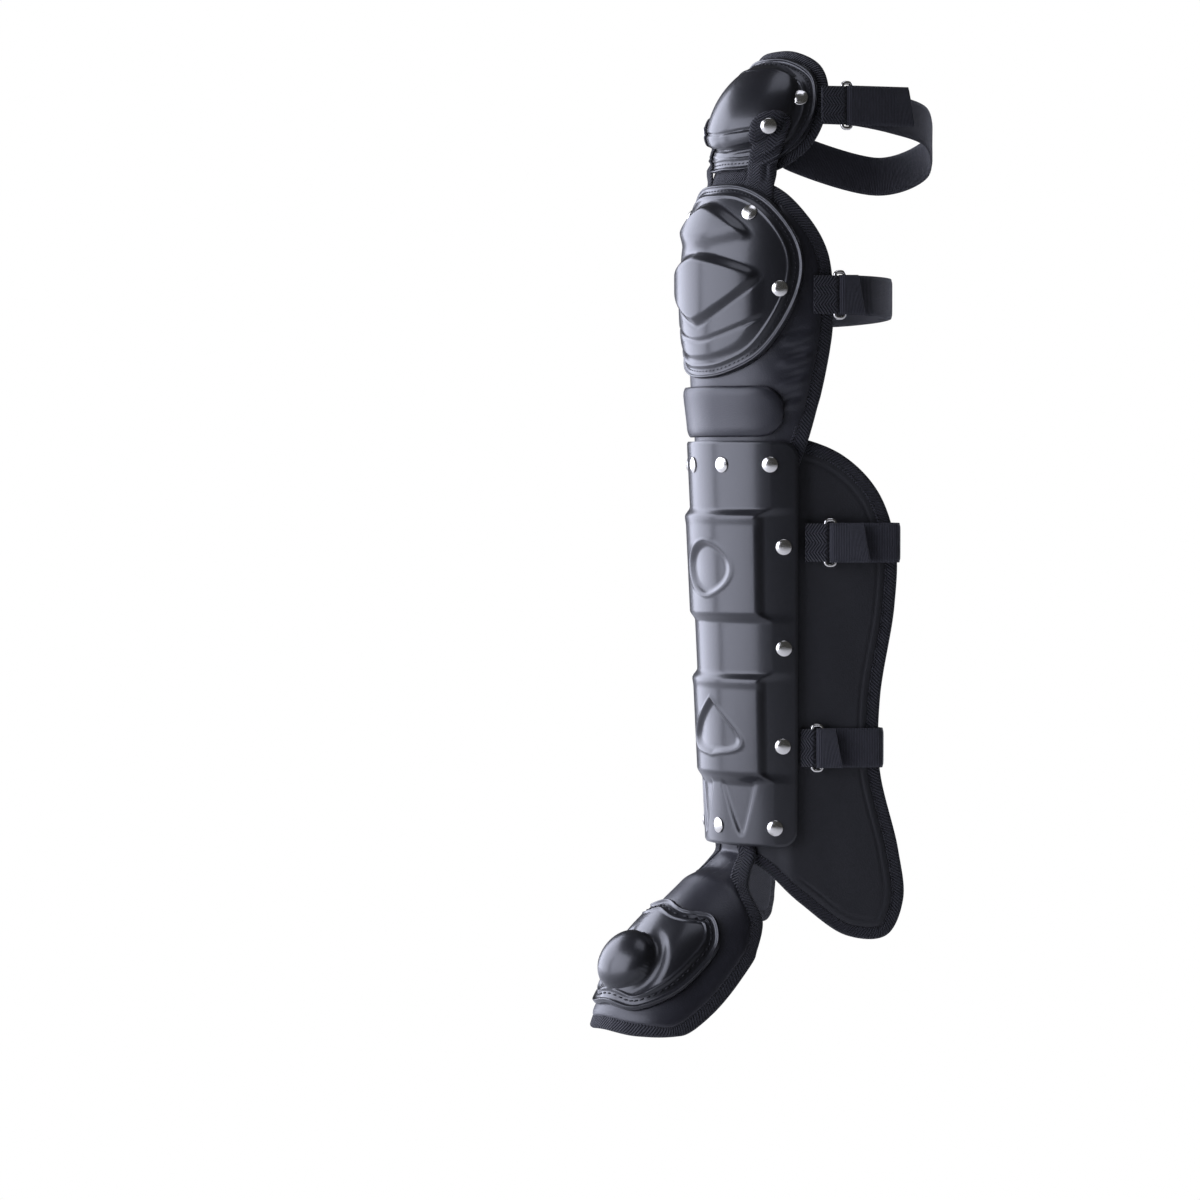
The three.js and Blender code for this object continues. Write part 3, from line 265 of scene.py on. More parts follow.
def flap_surface(across, along):
    place = np.clip(along / FLAP_LENGTH, 0, 1) * (len(FLAP_PATH) - 1)
    index = np.arange(len(FLAP_PATH))
    slope = np.gradient(FLAP_PATH, axis=0)
    y, z = (np.interp(place, index, column) for column in FLAP_PATH.T)
    ty, tz = (np.interp(place, index, column) for column in slope.T)
    length = np.hypot(ty, tz)
    front = np.stack([np.zeros_like(y), tz / length, -ty / length], axis=-1)
    angle = across / FLAP_RADIUS
    normal = front * np.cos(angle)[..., None]
    normal[..., 0] = np.sin(angle)
    centre = np.stack([np.zeros_like(y), y, z], axis=-1)
    return centre - front * FLAP_RADIUS + normal * FLAP_RADIUS, normal


def raised(surface, across, up, lift):
    point, normal = surface(np.asarray(across, float), np.asarray(up, float))
    return point + normal * np.asarray(lift, float)[..., None]


def to_frame(points):
    """Leg millimetres to metres in the row frame."""
    return (np.asarray(points, float) + [0, SEAT_DEPTH, 0]) * MM


panel_outline = Outline([
    (WING_START * (1 + wing) if wing < 0 else WING_START + wing * WING_REACH,
     mix(PANEL_BOTTOM, PANEL_TOP, up))
    for wing, up in PANEL_ROWS
])
knee_pad_outline = share_rows(
    KNEE_PAD_ROWS, KNEE_PAD_ANGLE * CALF_RADIUS, SHELL_TOP - KNEE_TONGUE, KNEE_PAD_TOP)
knee_cap_outline = share_rows(
    KNEE_CAP_ROWS, KNEE_CAP_ANGLE * CALF_RADIUS, KNEE_CAP_BOTTOM, KNEE_CAP_TOP)
thigh_pad_outline = share_rows(
    THIGH_PAD_ROWS, THIGH_PAD_ANGLE * CALF_RADIUS, THIGH_PAD_BOTTOM, THIGH_PAD_TOP)
thigh_cap_outline = share_rows(
    THIGH_CAP_ROWS, THIGH_CAP_ANGLE * CALF_RADIUS, THIGH_CAP_BOTTOM, THIGH_CAP_TOP)
flap_outline = Outline([(out * FLAP_HALF_WIDTH, along * FLAP_LENGTH) for out, along in FLAP_ROWS])
toe_cap_outline = Outline(
    [(out * TOE_CAP_HALF_WIDTH, along * FLAP_LENGTH) for out, along in TOE_CAP_ROWS])


def rounded_rows(half, bottom, top, corner):
    """A rectangle with rounded corners, as a half outline."""
    arc = [math.radians(a) for a in (0, 30, 60, 90)]
    rows = [(0, top), (half * 0.5, top)]
    rows += [(half - corner * (1 - math.sin(a)), top - corner * (1 - math.cos(a))) for a in arc]
    rows += [(half, mix(top, bottom, share)) for share in (0.3, 0.5, 0.7)]
    rows += [
        (half - corner * (1 - math.cos(a)), bottom + corner * (1 - math.sin(a))) for a in arc]
    return rows + [(half * 0.5, bottom), (0, bottom)]


badge_outline = Outline(
    rounded_rows(BADGE_ANGLE * CALF_RADIUS, BADGE_BOTTOM, BADGE_TOP, BADGE_CORNER))


def ring_chart(outline, centre_up, inset=0.0, spread=1.5):
    """Lays a square grid over the outline in rings that crowd towards its edge."""
    def place(x, y):
        level = np.maximum(np.abs(x), np.abs(y))
        safe = np.maximum(level, 1e-9)
        turn = np.where(x == level, 2 - y / safe, 6 + y / safe)
        turn = np.where(y == -level, 4 - x / safe, turn)
        turn = np.where(y == level, x / safe, turn)
        ring = 1 - (1 - level) ** spread
        edge_across, edge_up = outline.at(turn / 8, inset)
        return edge_across * ring, mix(centre_up, edge_up, ring)
    return place


def box_chart(half, bottom, top, corner):
    """Rows and columns over a rectangle with rounded corners."""
    def place(x, y):
        eased = np.sin(x * math.pi / 2) * 0.5 + x * 0.5
        up = mix(bottom, top, (np.sin(y * math.pi / 2) * 0.3 + y * 0.7 + 1) / 2)
        into = np.maximum(0, np.maximum(bottom + corner - up, up - top + corner))
        cut = corner - np.sqrt(np.maximum(0, corner**2 - into**2))
        return eased * (half - cut), up
    return place


# Thickness and relief of each sheet, as lifts off the lining's inner face.

def panel_thickness(across, up):
    body = mix(PANEL_THICKNESS, WING_THICKNESS, smooth(
        np.abs(across), WING_START - 28, WING_START - 12))
    tongue_end = SHELL_TOP - KNEE_TONGUE
    under_knee = smooth(up, tongue_end - 45, tongue_end - 22)
    neck_end = SHELL_BOTTOM + FLAP_TUCK
    neck = inside(across, FLAP_NECK_HALF_WIDTH + 28, 16)
    under_flap = neck * (1 - smooth(up, neck_end + 22, neck_end + 42))
    return mix(body, TONGUE_THICKNESS, np.maximum(under_knee, under_flap))


def knee_pad_range(up):
    tucked = 1 - smooth(up, PANEL_TOP + 2, PANEL_TOP + 18)
    return mix(0, TONGUE_SEAT, tucked), mix(PAD_THICKNESS - 0.1, SHELL_SEAT - 0.5, tucked)


def flap_range(along):
    free = smooth(along, FLAP_TUCK + 22, FLAP_TUCK + 38)
    return 0 * along, mix(SHELL_SEAT - 1.8 - TONGUE_SEAT, FLAP_THICKNESS, free)


def link_dent(across, up):
    half = LINK_WIDTH / 2 / (THIGH_RADIUS + PAD_THICKNESS)
    beside = inside(np.abs(across) / CALF_RADIUS - LINK_ANGLE, half + 0.09, 0.08)
    return (LINK_THICKNESS + TOUCH * 6) * beside * smooth(up, LINK_BOTTOM - 12, LINK_BOTTOM - 3)


def pad_edge(inset, low, high, soft=9.0):
    """A pad's inner and outer lift: full inside, and rounded down to fit under its tape."""
    middle = (low + high) / 2
    edge = np.minimum(TAPE_THICKNESS / 2 - 0.5, (high - low) / 2 - 0.2)
    share = np.clip((inset - 1.5) / soft, 0, 1)
    fill = np.sqrt(1 - (1 - share) ** 2.2)
    return mix(middle - edge, low, fill), mix(middle + edge, high, fill)


def cap_rim(inset):
    """Rolled lip, stitched groove and inner bead round a moulded cap."""
    lip = 1.25 * bump(inset - 1.3, 1.5) - 1.0 * smooth(1.0 - inset, 0, 1.0)
    return lip - 0.55 * inside(inset - CAP_GROOVE, 2.2, 1.6) + 0.8 * bump(inset - 8.4, 1.5)


def knee_cap_relief(across, up):
    inset = knee_cap_outline.inset_of(across, up)
    theta = np.degrees(np.abs(across) / CALF_RADIUS)
    out = np.abs(across) / (KNEE_CAP_ANGLE * CALF_RADIUS)
    high = (up - KNEE_CAP_MIDDLE) / KNEE_CAP_HALF
    round_share = np.minimum(1, (out**2.3 + np.abs(high) ** 2.3) ** (1 / 2.3))
    swell = 4.8 * (1 - round_share**2.4)
    body = smooth(inset, 9.5, 17)
    boss_top = 148 - 13 * (theta / 36) ** 1.5
    boss_bottom = 102 + 27 * (theta / 36) ** 1.35
    tip = 1 - smooth(theta, 33, 39)
    boss = smooth(up, boss_bottom - 4, boss_bottom + 4) * (1 - smooth(up, boss_top - 4, boss_top + 4))
    boss_height = 5.6 * (1 - 0.35 * (theta / 38) ** 2)
    brow_top = 183 - 23 * (theta / 33) ** 1.6
    brow_bottom = 149 + 7 * (theta / 33) ** 1.5
    brow_end = 1 - smooth(theta, 28, 35)
    brow = smooth(up, brow_bottom, brow_bottom + 14) * (1 - smooth(up, brow_top - 3.5, brow_top + 3))
    crease = 91 + 16 * (theta / 40) ** 1.6
    fold = 78 + 10 * (theta / 40) ** 1.6
    ends = 1 - smooth(theta, 34, 42)
    bands = 1.6 * smooth(up, crease - 3, crease + 2) * (1 - smooth(up, boss_bottom - 5, boss_bottom))
    bands = bands + 1.4 * smooth(up, fold - 3, fold + 2) * (1 - smooth(up, crease - 4, crease - 1))
    return swell + body * (
        boss_height * boss * tip + 4.4 * brow * brow_end + bands * ends) + cap_rim(inset)


def knee_cap_lift(across, up):
    return PAD_THICKNESS + TOUCH + CAP_WALL + knee_cap_relief(across, up)


def thigh_cap_relief(across, up):
    inset = thigh_cap_outline.inset_of(across, up)
    out = np.abs(across) / (THIGH_CAP_ANGLE * CALF_RADIUS)
    high = (up - THIGH_CAP_BOTTOM) / (THIGH_CAP_TOP - THIGH_CAP_BOTTOM)
    round_share = np.minimum(1, (out**2.3 + np.abs(high * 2 - 1) ** 2.3) ** (1 / 2.3))
    swell = 7 * (1 - round_share**2.2)
    reach = (out / 0.74) ** 2.3 + (np.abs(high - 0.62 + 0.05 * out) / 0.42) ** 2.3
    dome = 12 * np.sqrt(np.maximum(0, 1 - reach)) * smooth(1.0 - reach, 0, 0.12)
    ends = 1 - smooth(out, 0.35, 0.62)
    creases = sum(
        depth * bump(up - height - 6 * out, 2.0)
        for height, depth in ((231, -1.3), (220, -1.1), (215, 0.8)))
    return swell + dome + creases * ends * smooth(inset, 9, 12) + cap_rim(inset)


def thigh_cap_lift(across, up):
    return THIGH_CAP_SEAT + CAP_WALL + thigh_cap_relief(across, up)


def toe_cap_lift(across, along):
    inset = toe_cap_outline.inset_of(across, along)
    middle = FLAP_LENGTH * 0.69
    out = np.abs(across) / TOE_CAP_HALF_WIDTH
    high = np.abs(along - FLAP_LENGTH * 0.66) / (FLAP_LENGTH * 0.235)
    round_share = np.minimum(1, (out**2.3 + high**2.3) ** (1 / 2.3))
    away = np.hypot(across, (along - FLAP_LENGTH * 0.72) * 0.95) / TOE_BUMP_RADIUS
    dome = TOE_BUMP_HEIGHT * np.sqrt(np.maximum(0, 1 - away**2)) * smooth(1 - away**2, 0, 0.1)
    valley = 2.6 * bump(away - 1.16, 0.34) * smooth(out, 0.15, 0.5)
    shoulder = 2.4 * bump(out - 0.62, 0.34) * bump((along - middle) / FLAP_LENGTH + 0.06, 0.2)
    swell = 5.2 * (1 - round_share**2.5)
    return FLAP_THICKNESS + TOUCH + CAP_WALL + swell + dome - valley + shoulder + cap_rim(inset)


def shell_inset(across, up):
    middle = (SHELL_TOP + SHELL_BOTTOM) / 2
    side = np.abs(across) - (WING_START - SHELL_CORNER)
    tall = np.abs(up - middle) - ((SHELL_TOP - SHELL_BOTTOM) / 2 - SHELL_CORNER)
    outside = np.hypot(np.maximum(side, 0), np.maximum(tall, 0))
    return SHELL_CORNER - outside - np.minimum(np.maximum(side, tall), 0)


def shin_relief(across, up):
    theta = np.degrees(np.abs(across) / CALF_RADIUS)
    upper = smooth(up, -103, -96) * (1 - smooth(up, -31, -24))
    lower = smooth(up, -213, -205) * (1 - smooth(up, -143, -136))
    band = np.maximum(upper, lower)
    crease = mix(43.5, 37.0, band)
    face = 1 - smooth(theta, crease - 2.2, crease + 2.2)
    side_plane = 2.4 * np.clip((58 - theta) / (58 - crease), 0, 1)
    lips = bump(up + 31, 6) + bump(up + 143, 6)
    # The two sunk eyes: a leaf with its tip at half height, and a drop with a low tip.
    side = np.abs(across)
    leaf = 1 - (side / 20.5) ** 1.6 - ((up + 65.5) / 18.5) ** 2
    share = side / 24.5
    drop = 1 - share**1.9 - ((up + 174 + 10 * share) / 19) ** 2 * (1 + 1.5 * share)
    sunk = 2.8 * (smooth(leaf, -0.05, 0.4) + smooth(drop, -0.05, 0.4))
    lid = 0.5 * (bump(leaf + 0.1, 0.2) + bump(drop + 0.1, 0.2))
    notch_half = 12.5 * np.clip((up + 250) / 36, 0, 1) ** 0.8
    notch_middle = mix(20.5, 18.5, np.clip((up + 250) / 36, 0, 1))
    notch = inside(theta - notch_middle, notch_half, 3.5) * inside(up + 230, 18, 6)
    return side_plane + face * (band * (3.3 - sunk) + lid + 0.5 * lips - 1.5 * notch)


def shell_lift(across, up):
    inset = shell_inset(across, up)
    return SHELL_SEAT + SHELL_WALL + shin_relief(across, up) - 0.7 * smooth(1.6 - inset, 0, 1.6)


def link_surface(across, up):
    knee_point, knee_normal = leg_surface(across, up)
    low = knee_point + knee_normal * (PAD_THICKNESS - LINK_THICKNESS - TOUCH)
    on_thigh = np.maximum(up, THIGH_CAP_BOTTOM + 3)
    thigh_point, thigh_normal = thigh_surface(across, on_thigh)
    high = thigh_point + thigh_normal * (thigh_cap_lift(across, on_thigh) + LINK_GAP)[..., None]
    high[..., 2] = up
    share = smooth(up, KNEE_CAP_TOP - 4, THIGH_CAP_BOTTOM)[..., None]
    return low * (1 - share) + high * share, knee_normal


def wrinkles(across, up):
    """Slack creases in the knee pad's vinyl, below and beside the cap."""
    side = np.abs(across) / CALF_RADIUS
    where = inside(up - 68, 26, 22) * smooth(side, 0.78, 1.02) * (1 - smooth(side, 1.2, 1.32))
    slant = up - 34 * (side - 1.05)
    folds = np.sin(slant * 0.42 + 1.5 * np.sin(side * 7)) + 0.5 * np.sin(slant * 0.85 + side * 11)
    ripple = 0.12 * np.sin(up * 0.3 + across * 0.11) * np.sin(across * 0.23)
    return 1.3 * folds * where + ripple


def quilting(across, up):
    """Sewn channels in the knee lining: one line across and a rounded frame below it."""
    frame_half = KNEE_PAD_ANGLE * CALF_RADIUS * 0.62
    line = bump(up - 88, 2.2) * inside(across, frame_half, 6)
    side = np.abs(across) - (frame_half - 12)
    tall = np.abs(up - 57) - (27 - 12)
    ring = np.hypot(np.maximum(side, 0), np.maximum(tall, 0)) + np.minimum(np.maximum(side, tall), 0)
    return 1.3 * np.maximum(line, bump(ring - 12, 2.2) * (up < 88))


# Mesh makers.

def add_object(name, mesh, *materials):
    for polygon in mesh.polygons:
        polygon.use_smooth = True
    made = bpy.data.objects.new(name, mesh)
    bpy.context.scene.collection.objects.link(made)
    for material in materials:
        mesh.materials.append(material)
    return made


def dress(piece, slot, *nodes, fill=None):
    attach(piece, "root")
    if nodes:
        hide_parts(*nodes)
    return piece


def grid_mesh(name, columns, rows, place, layers=False, weld=1e-6):
    """A grid laid by place(x, y, layer), where x and y run from -1 to 1 and layer is 0 or 1.

    place gives points in leg millimetres and the chart position that becomes the UV map."""
    grid = bmesh.new()
    bmesh.ops.create_grid(grid, x_segments=columns, y_segments=rows, size=1)
    if layers:
        kept = bmesh.ops.extrude_face_region(grid, geom=grid.faces[:], use_keep_orig=True)
        top = [part for part in kept["geom"] if isinstance(part, bmesh.types.BMVert)]
        bmesh.ops.translate(grid, verts=top, vec=(0, 0, 1))
    mesh = bpy.data.meshes.new(name)
    grid.to_mesh(mesh)
    grid.free()
    flat = np.empty(len(mesh.vertices) * 3)
    mesh.vertices.foreach_get("co", flat)
    flat = flat.reshape(-1, 3).round(6)
    points, chart = place(flat[:, 0], flat[:, 1], flat[:, 2])
    mesh.vertices.foreach_set("co", to_frame(points).ravel())
    corners = np.empty(len(mesh.loops), int)
    mesh.loops.foreach_get("vertex_index", corners)
    laid = mesh.uv_layers.new(name="chart")
    laid.data.foreach_set("uv", (chart[corners] * MM).ravel())
    if layers:
        starts = np.empty(len(mesh.polygons), int)
        mesh.polygons.foreach_get("loop_start", starts)
        level = flat[corners, 2]
        sides = np.array([level[s:s + 4].sum() == 0 for s in starts])
        mesh.polygons.foreach_set("material_index", sides.astype(int))
    shaped = bmesh.new()
    shaped.from_mesh(mesh)
    bmesh.ops.remove_doubles(shaped, verts=shaped.verts[:], dist=weld)
    bmesh.ops.recalc_face_normals(shaped, faces=shaped.faces[:])
    shaped.to_mesh(mesh)
    shaped.free()
    return mesh


def sheet_mesh(name, surface, chart, lifts, columns, rows):
    """A closed sheet with thickness over a chart."""
    def place(x, y, layer):
        across, up = chart(x, y)
        low, high = lifts(across, up)
        return raised(surface, across, up, mix(low, high, layer)), np.stack([across, up], axis=1)
    return grid_mesh(name, columns, rows, place, layers=True)


def soften(piece, width):
    """Rounds the sharp edges of a moulded piece."""
    edge = piece.modifiers.new("edge", "BEVEL")
    edge.width = width * MM
    edge.segments = 2
    edge.limit_method = "ANGLE"
    edge.angle_limit = math.radians(50)
    return piece


def tape_mesh(name, surface, outline, middle_lift, width, steps):
    """Binding tape folded over an outline's edge, a little fuller at the fold."""
    sides = 18
    half = TAPE_THICKNESS / 2

    def place(x, y, layer):
        share = (x + 1) / 2
        turn = y * math.pi
        reach = np.clip(1 - np.abs(turn) / (math.pi * TAPE_FOLD), 0, 1)
        flat_part = np.abs(turn) - math.pi * TAPE_FOLD
        inset = np.where(
            flat_part < 0, half * (1 - np.cos(turn / TAPE_FOLD / 2)),
            half + (width - half) * np.clip(flat_part / (math.pi * 0.62), 0, 1))
        lift = np.where(
            flat_part < 0, half * np.sin(turn / TAPE_FOLD / 2),
            np.sign(turn) * half * np.where(
                np.abs(turn) > math.pi * 0.9, (math.pi - np.abs(turn)) / (math.pi * 0.1), 1.0))
        lift = lift * (1 + 0.06 * reach)
        across, up = outline.at(share, inset)
        ripple = 0.14 * np.sin(share * outline.length * 0.55) * (1 - reach)
        points = raised(surface, across, up, middle_lift(across, up) + lift + ripple * np.sign(lift))
        chart = np.stack([share * outline.length, turn / math.pi * width], axis=1)
        return points, chart
    return grid_mesh(name, steps, sides, place, weld=1e-5)


def ribbon_frame(line):
    """A line's direction, crosswise direction and face at each point, and its length."""
    ahead = np.gradient(line, axis=0)
    ahead /= np.linalg.norm(ahead, axis=1)[:, None]
    wide = UP - ahead * (ahead @ UP)[:, None]
    wide /= np.linalg.norm(wide, axis=1)[:, None]
    length = np.linalg.norm(np.diff(line, axis=0), axis=1).sum()
    return ahead, wide, np.cross(ahead, wide), length


def band_mesh(name, path, width, thickness, columns, slant=0):
    """A flat strap along a path, with rounded edges; slant cuts its first end askew."""
    rows = 10
    line = evenly(np.asarray(path, float), columns + 1)
    ahead, wide, face, length = ribbon_frame(line)

    def place(x, y, layer):
        index = np.rint((x + 1) / 2 * columns).astype(int)
        half = thickness / 2 * np.maximum(0.2, 1 - np.abs(y) ** 10 * 0.8)
        side = width / 2 * y
        points = line[index] + wide[index] * side[:, None]
        near_end = np.maximum(0, 1 - index * length / columns / 14)
        points = points + ahead[index] * (slant * (y + 1) / 2 * near_end)[:, None]
        points = points + face[index] * (half * (layer * 2 - 1))[:, None]
        return points, np.stack([(x + 1) / 2 * length, side], axis=1)
    return grid_mesh(name, columns, rows, place, layers=True)


def tube_mesh(name, path, radius, steps):
    """A round wire along a closed path."""
    sides = 12
    line = evenly(np.vstack([path, path[:1]]), steps + 1)
    ahead = np.roll(line[:-1], -1, axis=0) - np.roll(line[:-1], 1, axis=0)
    ahead = np.vstack([ahead, ahead[:1]])
    ahead /= np.linalg.norm(ahead, axis=1)[:, None]
    plane = np.cross(line[0] - line[:-1].mean(axis=0), ahead[0])
    plane /= np.linalg.norm(plane)
    outward = np.cross(ahead, plane)

    def place(x, y, layer):
        index = np.rint((x + 1) / 2 * steps).astype(int)
        turn = y * math.pi
        points = line[index] + radius * (
            outward[index] * np.cos(turn)[:, None] + plane * np.sin(turn)[:, None])
        return points, np.stack([index * 1.0, turn * radius], axis=1)
    return grid_mesh(name, steps, sides, place, weld=1e-5)


def frame_on(surface, lift, across, up):
    """The point on a lifted surface and its outward normal."""
    step = 1.5
    at = np.array([[across, up], [across + step, up], [across - step, up],
                   [across, up + step], [across, up - step]])
    points = raised(surface, at[:, 0], at[:, 1], lift(at[:, 0], at[:, 1]))
    normal = np.cross(points[1] - points[2], points[3] - points[4])
    base_normal = surface(at[:1, 0], at[:1, 1])[1][0]
    normal /= np.linalg.norm(normal)
    if normal @ base_normal < 0:
        normal = -normal
    return points[0], normal


def turned_to(normal, point):
    """A matrix that stands +Z along a normal at a point of the row frame."""
    turn = Vector(normal).to_track_quat("Z", "Y").to_matrix().to_4x4()
    return Matrix.Translation(Vector(to_frame(point))) @ turn


def add_spun(shape, profile, steps, place, closed=False):
    """Spins a profile of distances out from +Z and heights, in metres, and joins it in."""
    lathe = bmesh.new()
    verts = [lathe.verts.new((out, 0, rise)) for out, rise in profile]
    line = verts + verts[:1] if closed else verts
    edges = [lathe.edges.new(pair) for pair in zip(line, line[1:])]
    bmesh.ops.spin(
        lathe, geom=verts + edges, cent=(0, 0, 0), axis=(0, 0, 1), angle=math.tau, steps=steps,
        use_merge=True)
    bmesh.ops.remove_doubles(lathe, verts=lathe.verts[:], dist=1e-6)
    bmesh.ops.recalc_face_normals(lathe, faces=lathe.faces[:])
    bmesh.ops.transform(lathe, matrix=place, verts=lathe.verts[:])
    join_into(shape, lathe)


def add_rivet(shape, point, normal):
    """A domed head with a rolled flange."""
    radius, height = RIVET_RADIUS * MM, RIVET_HEIGHT * MM
    profile = [(0, 1), (0.22, 0.985), (0.42, 0.93), (0.6, 0.82), (0.74, 0.66), (0.84, 0.5),
               (0.93, 0.42), (1, 0.28), (1, 0.1), (0.96, -0.25), (0, -0.25)]
    add_spun(
        shape, [(out * radius, rise * height) for out, rise in profile], 28,
        turned_to(normal, point))


def join_into(shape, part):
    carried = bpy.data.meshes.new("carried")
    part.to_mesh(carried)
    part.free()
    shape.from_mesh(carried)
    bpy.data.meshes.remove(carried)


def add_stitches(shape, points, normals, length, radius, lean=0.0):
    """Short threads at even places, each along the row and a little sunk at its ends."""
    ahead = np.gradient(points, axis=0)
    for point, forward, normal in zip(points, ahead, normals):
        forward = Vector(forward).normalized()
        upward = Vector(normal).normalized()
        side = upward.cross(forward).normalized()
        forward = (forward + side * lean).normalized()
        side = upward.cross(forward).normalized()
        turn = Matrix((forward * length / 2, side * radius, upward * radius * 0.8)).transposed()
        place = Matrix.Translation(Vector(to_frame(point))) @ (turn * MM).to_4x4()
        bmesh.ops.create_icosphere(shape, subdivisions=1, radius=1, matrix=place)


def stitch_outline(shape, surface, lift, outline, inset, spacing, length, radius, lean=0.0, proud=0.1):
    count = int(outline.length / spacing)
    share = np.arange(count) / count
    across, up = outline.at(share, inset)
    points = raised(surface, across, up, lift(across, up) + proud)
    normals = surface(across, up)[1]
    add_stitches(shape, points, normals, length, radius, lean)


def mesh_of(shape, name):
    mesh = bpy.data.meshes.new(name)
    shape.to_mesh(mesh)
    shape.free()
    return mesh


# Materials.

def add_node(tree, kind, inputs=(), **settings):
    made = tree.nodes.new(kind)
    for key, value in settings.items():
        setattr(made, key, value)
    for key, value in dict(inputs).items():
        socket = made.inputs[key]
        if isinstance(value, bpy.types.NodeSocket):
            tree.links.new(value, socket)
        else:
            socket.default_value = value
    return made


def value_math(tree, operation, first, second=0.0, third=0.0):
    inputs = {0: first, 1: second, 2: third}
    return add_node(tree, "ShaderNodeMath", inputs, operation=operation).outputs[0]


def new_group(name, inputs, outputs):
    """A shader node group with named float inputs, one Vector input, and named outputs."""
    group = bpy.data.node_groups.new(name, "ShaderNodeTree")
    group.interface.new_socket("Vector", in_out="INPUT", socket_type="NodeSocketVector")
    for label, default in inputs:
        socket = group.interface.new_socket(label, in_out="INPUT", socket_type="NodeSocketFloat")
        socket.default_value = default
    for label in outputs:
        group.interface.new_socket(label, in_out="OUTPUT", socket_type="NodeSocketFloat")
    return group, group.nodes.new("NodeGroupInput"), group.nodes.new("NodeGroupOutput")


def make_ribbed_weave():
    """Woven ribs that slant one way and then the other, with threads across them."""
    group, given, out = new_group(
        "ribbed_weave",
        [("Ribs", 500.0), ("Slant", 0.6), ("Zigzag", 0.0045), ("Threads", 1400.0)],
        ["Height", "Shade"])
    parts = add_node(group, "ShaderNodeSeparateXYZ", {0: given.outputs["Vector"]})
    along, across = parts.outputs[0], parts.outputs[1]
    fold = value_math(group, "PINGPONG", across, given.outputs["Zigzag"])
    slanted = value_math(group, "MULTIPLY_ADD", fold, given.outputs["Slant"], along)
    turn = value_math(group, "MULTIPLY", slanted, given.outputs["Ribs"])
    rib = value_math(group, "SINE", value_math(group, "MULTIPLY", turn, math.tau))
    cross_turn = value_math(group, "MULTIPLY", across, given.outputs["Threads"])
    cross = value_math(group, "SINE", value_math(group, "MULTIPLY", cross_turn, math.tau))
    uneven = add_node(group, "ShaderNodeTexNoise", {
        "Vector": given.outputs["Vector"], "Scale": 900.0, "Detail": 2.0})
    woven = value_math(group, "MULTIPLY_ADD", rib, 0.36, 0.5)
    crossed = value_math(group, "MULTIPLY_ADD", cross, 0.1, woven)
    height = value_math(group, "MULTIPLY_ADD", uneven.outputs[0], 0.22, crossed)
    group.links.new(height, out.inputs["Height"])
    # The rib pattern also goes out as Shade: painted light and shade, with crests lighter and grooves
    # darker.
    group.links.new(woven, out.inputs["Shade"])
    return group


def make_grain():
    """Pebbled grain with larger slack unevenness."""
    group, given, out = new_group("grain", [("Fine", 900.0), ("Coarse", 45.0)], ["Height", "Cloud"])
    cells = add_node(group, "ShaderNodeTexVoronoi", {
        "Vector": given.outputs["Vector"], "Scale": given.outputs["Fine"]}, feature="SMOOTH_F1")
    large = add_node(group, "ShaderNodeTexNoise", {
        "Vector": given.outputs["Vector"], "Scale": given.outputs["Coarse"], "Detail": 4.0})
    height = value_math(group, "MULTIPLY_ADD", cells.outputs["Distance"], 0.35, large.outputs[0])
    group.links.new(height, out.inputs["Height"])
    group.links.new(large.outputs[0], out.inputs["Cloud"])
    return group


def make_handling():
    """Fine scuffs and a film of dust that gathers unevenly."""
    group, given, out = new_group("handling", [("Scuffs", 160.0), ("Amount", 0.5)], ["Scuff", "Film"])
    stretched = add_node(group, "ShaderNodeMapping", {
        "Vector": given.outputs["Vector"], "Scale": (1.0, 1.0, 5.0), "Rotation": (0.3, 0.5, 0.2)})
    streaks = add_node(group, "ShaderNodeTexNoise", {
        "Vector": stretched.outputs[0], "Scale": given.outputs["Scuffs"], "Detail": 8.0,
        "Roughness": 0.7})
    sharp = add_node(group, "ShaderNodeMapRange", {
        "Value": streaks.outputs[0], "From Min": 0.58, "From Max": 0.78})
    cloud = add_node(group, "ShaderNodeTexNoise", {
        "Vector": given.outputs["Vector"], "Scale": 14.0, "Detail": 5.0})
    scuff = value_math(group, "MULTIPLY", sharp.outputs[0], given.outputs["Amount"])
    group.links.new(scuff, out.inputs["Scuff"])
    group.links.new(cloud.outputs[0], out.inputs["Film"])
    return group


def new_material(name, base, roughness, **sockets):
    material = bpy.data.materials.new(name)
    material.use_nodes = True
    tree = material.node_tree
    surface = tree.nodes["Principled BSDF"]
    surface.inputs["Base Color"].default_value = (*base, 1)
    surface.inputs["Roughness"].default_value = roughness
    for label, value in sockets.items():
        surface.inputs[label.replace("_", " ")].default_value = value
    material.diffuse_color = (*base, 1)
    return material, tree, surface


def coordinates(tree, kind):
    return add_node(tree, "ShaderNodeTexCoord").outputs[kind]


def use_group(tree, group, vector, **inputs):
    return add_node(tree, "ShaderNodeGroup", {"Vector": vector, **inputs}, node_tree=group)


def vary_colour(tree, surface, factor, low, high):
    ramp = add_node(tree, "ShaderNodeMix", {"Factor": factor}, data_type="RGBA")
    ramp.inputs[6].default_value = (*low, 1)
    ramp.inputs[7].default_value = (*high, 1)
    tree.links.new(ramp.outputs[2], surface.inputs["Base Color"])


def vary_roughness(tree, surface, factor, low, high):
    spread = add_node(tree, "ShaderNodeMapRange", {"Value": factor, "To Min": low, "To Max": high})
    tree.links.new(spread.outputs[0], surface.inputs["Roughness"])


def add_relief(tree, surface, height, distance):
    relief = add_node(tree, "ShaderNodeBump", {"Height": height, "Distance": distance})
    tree.links.new(relief.outputs[0], surface.inputs["Normal"])


def tint(base, share):
    return tuple(channel * share for channel in base)


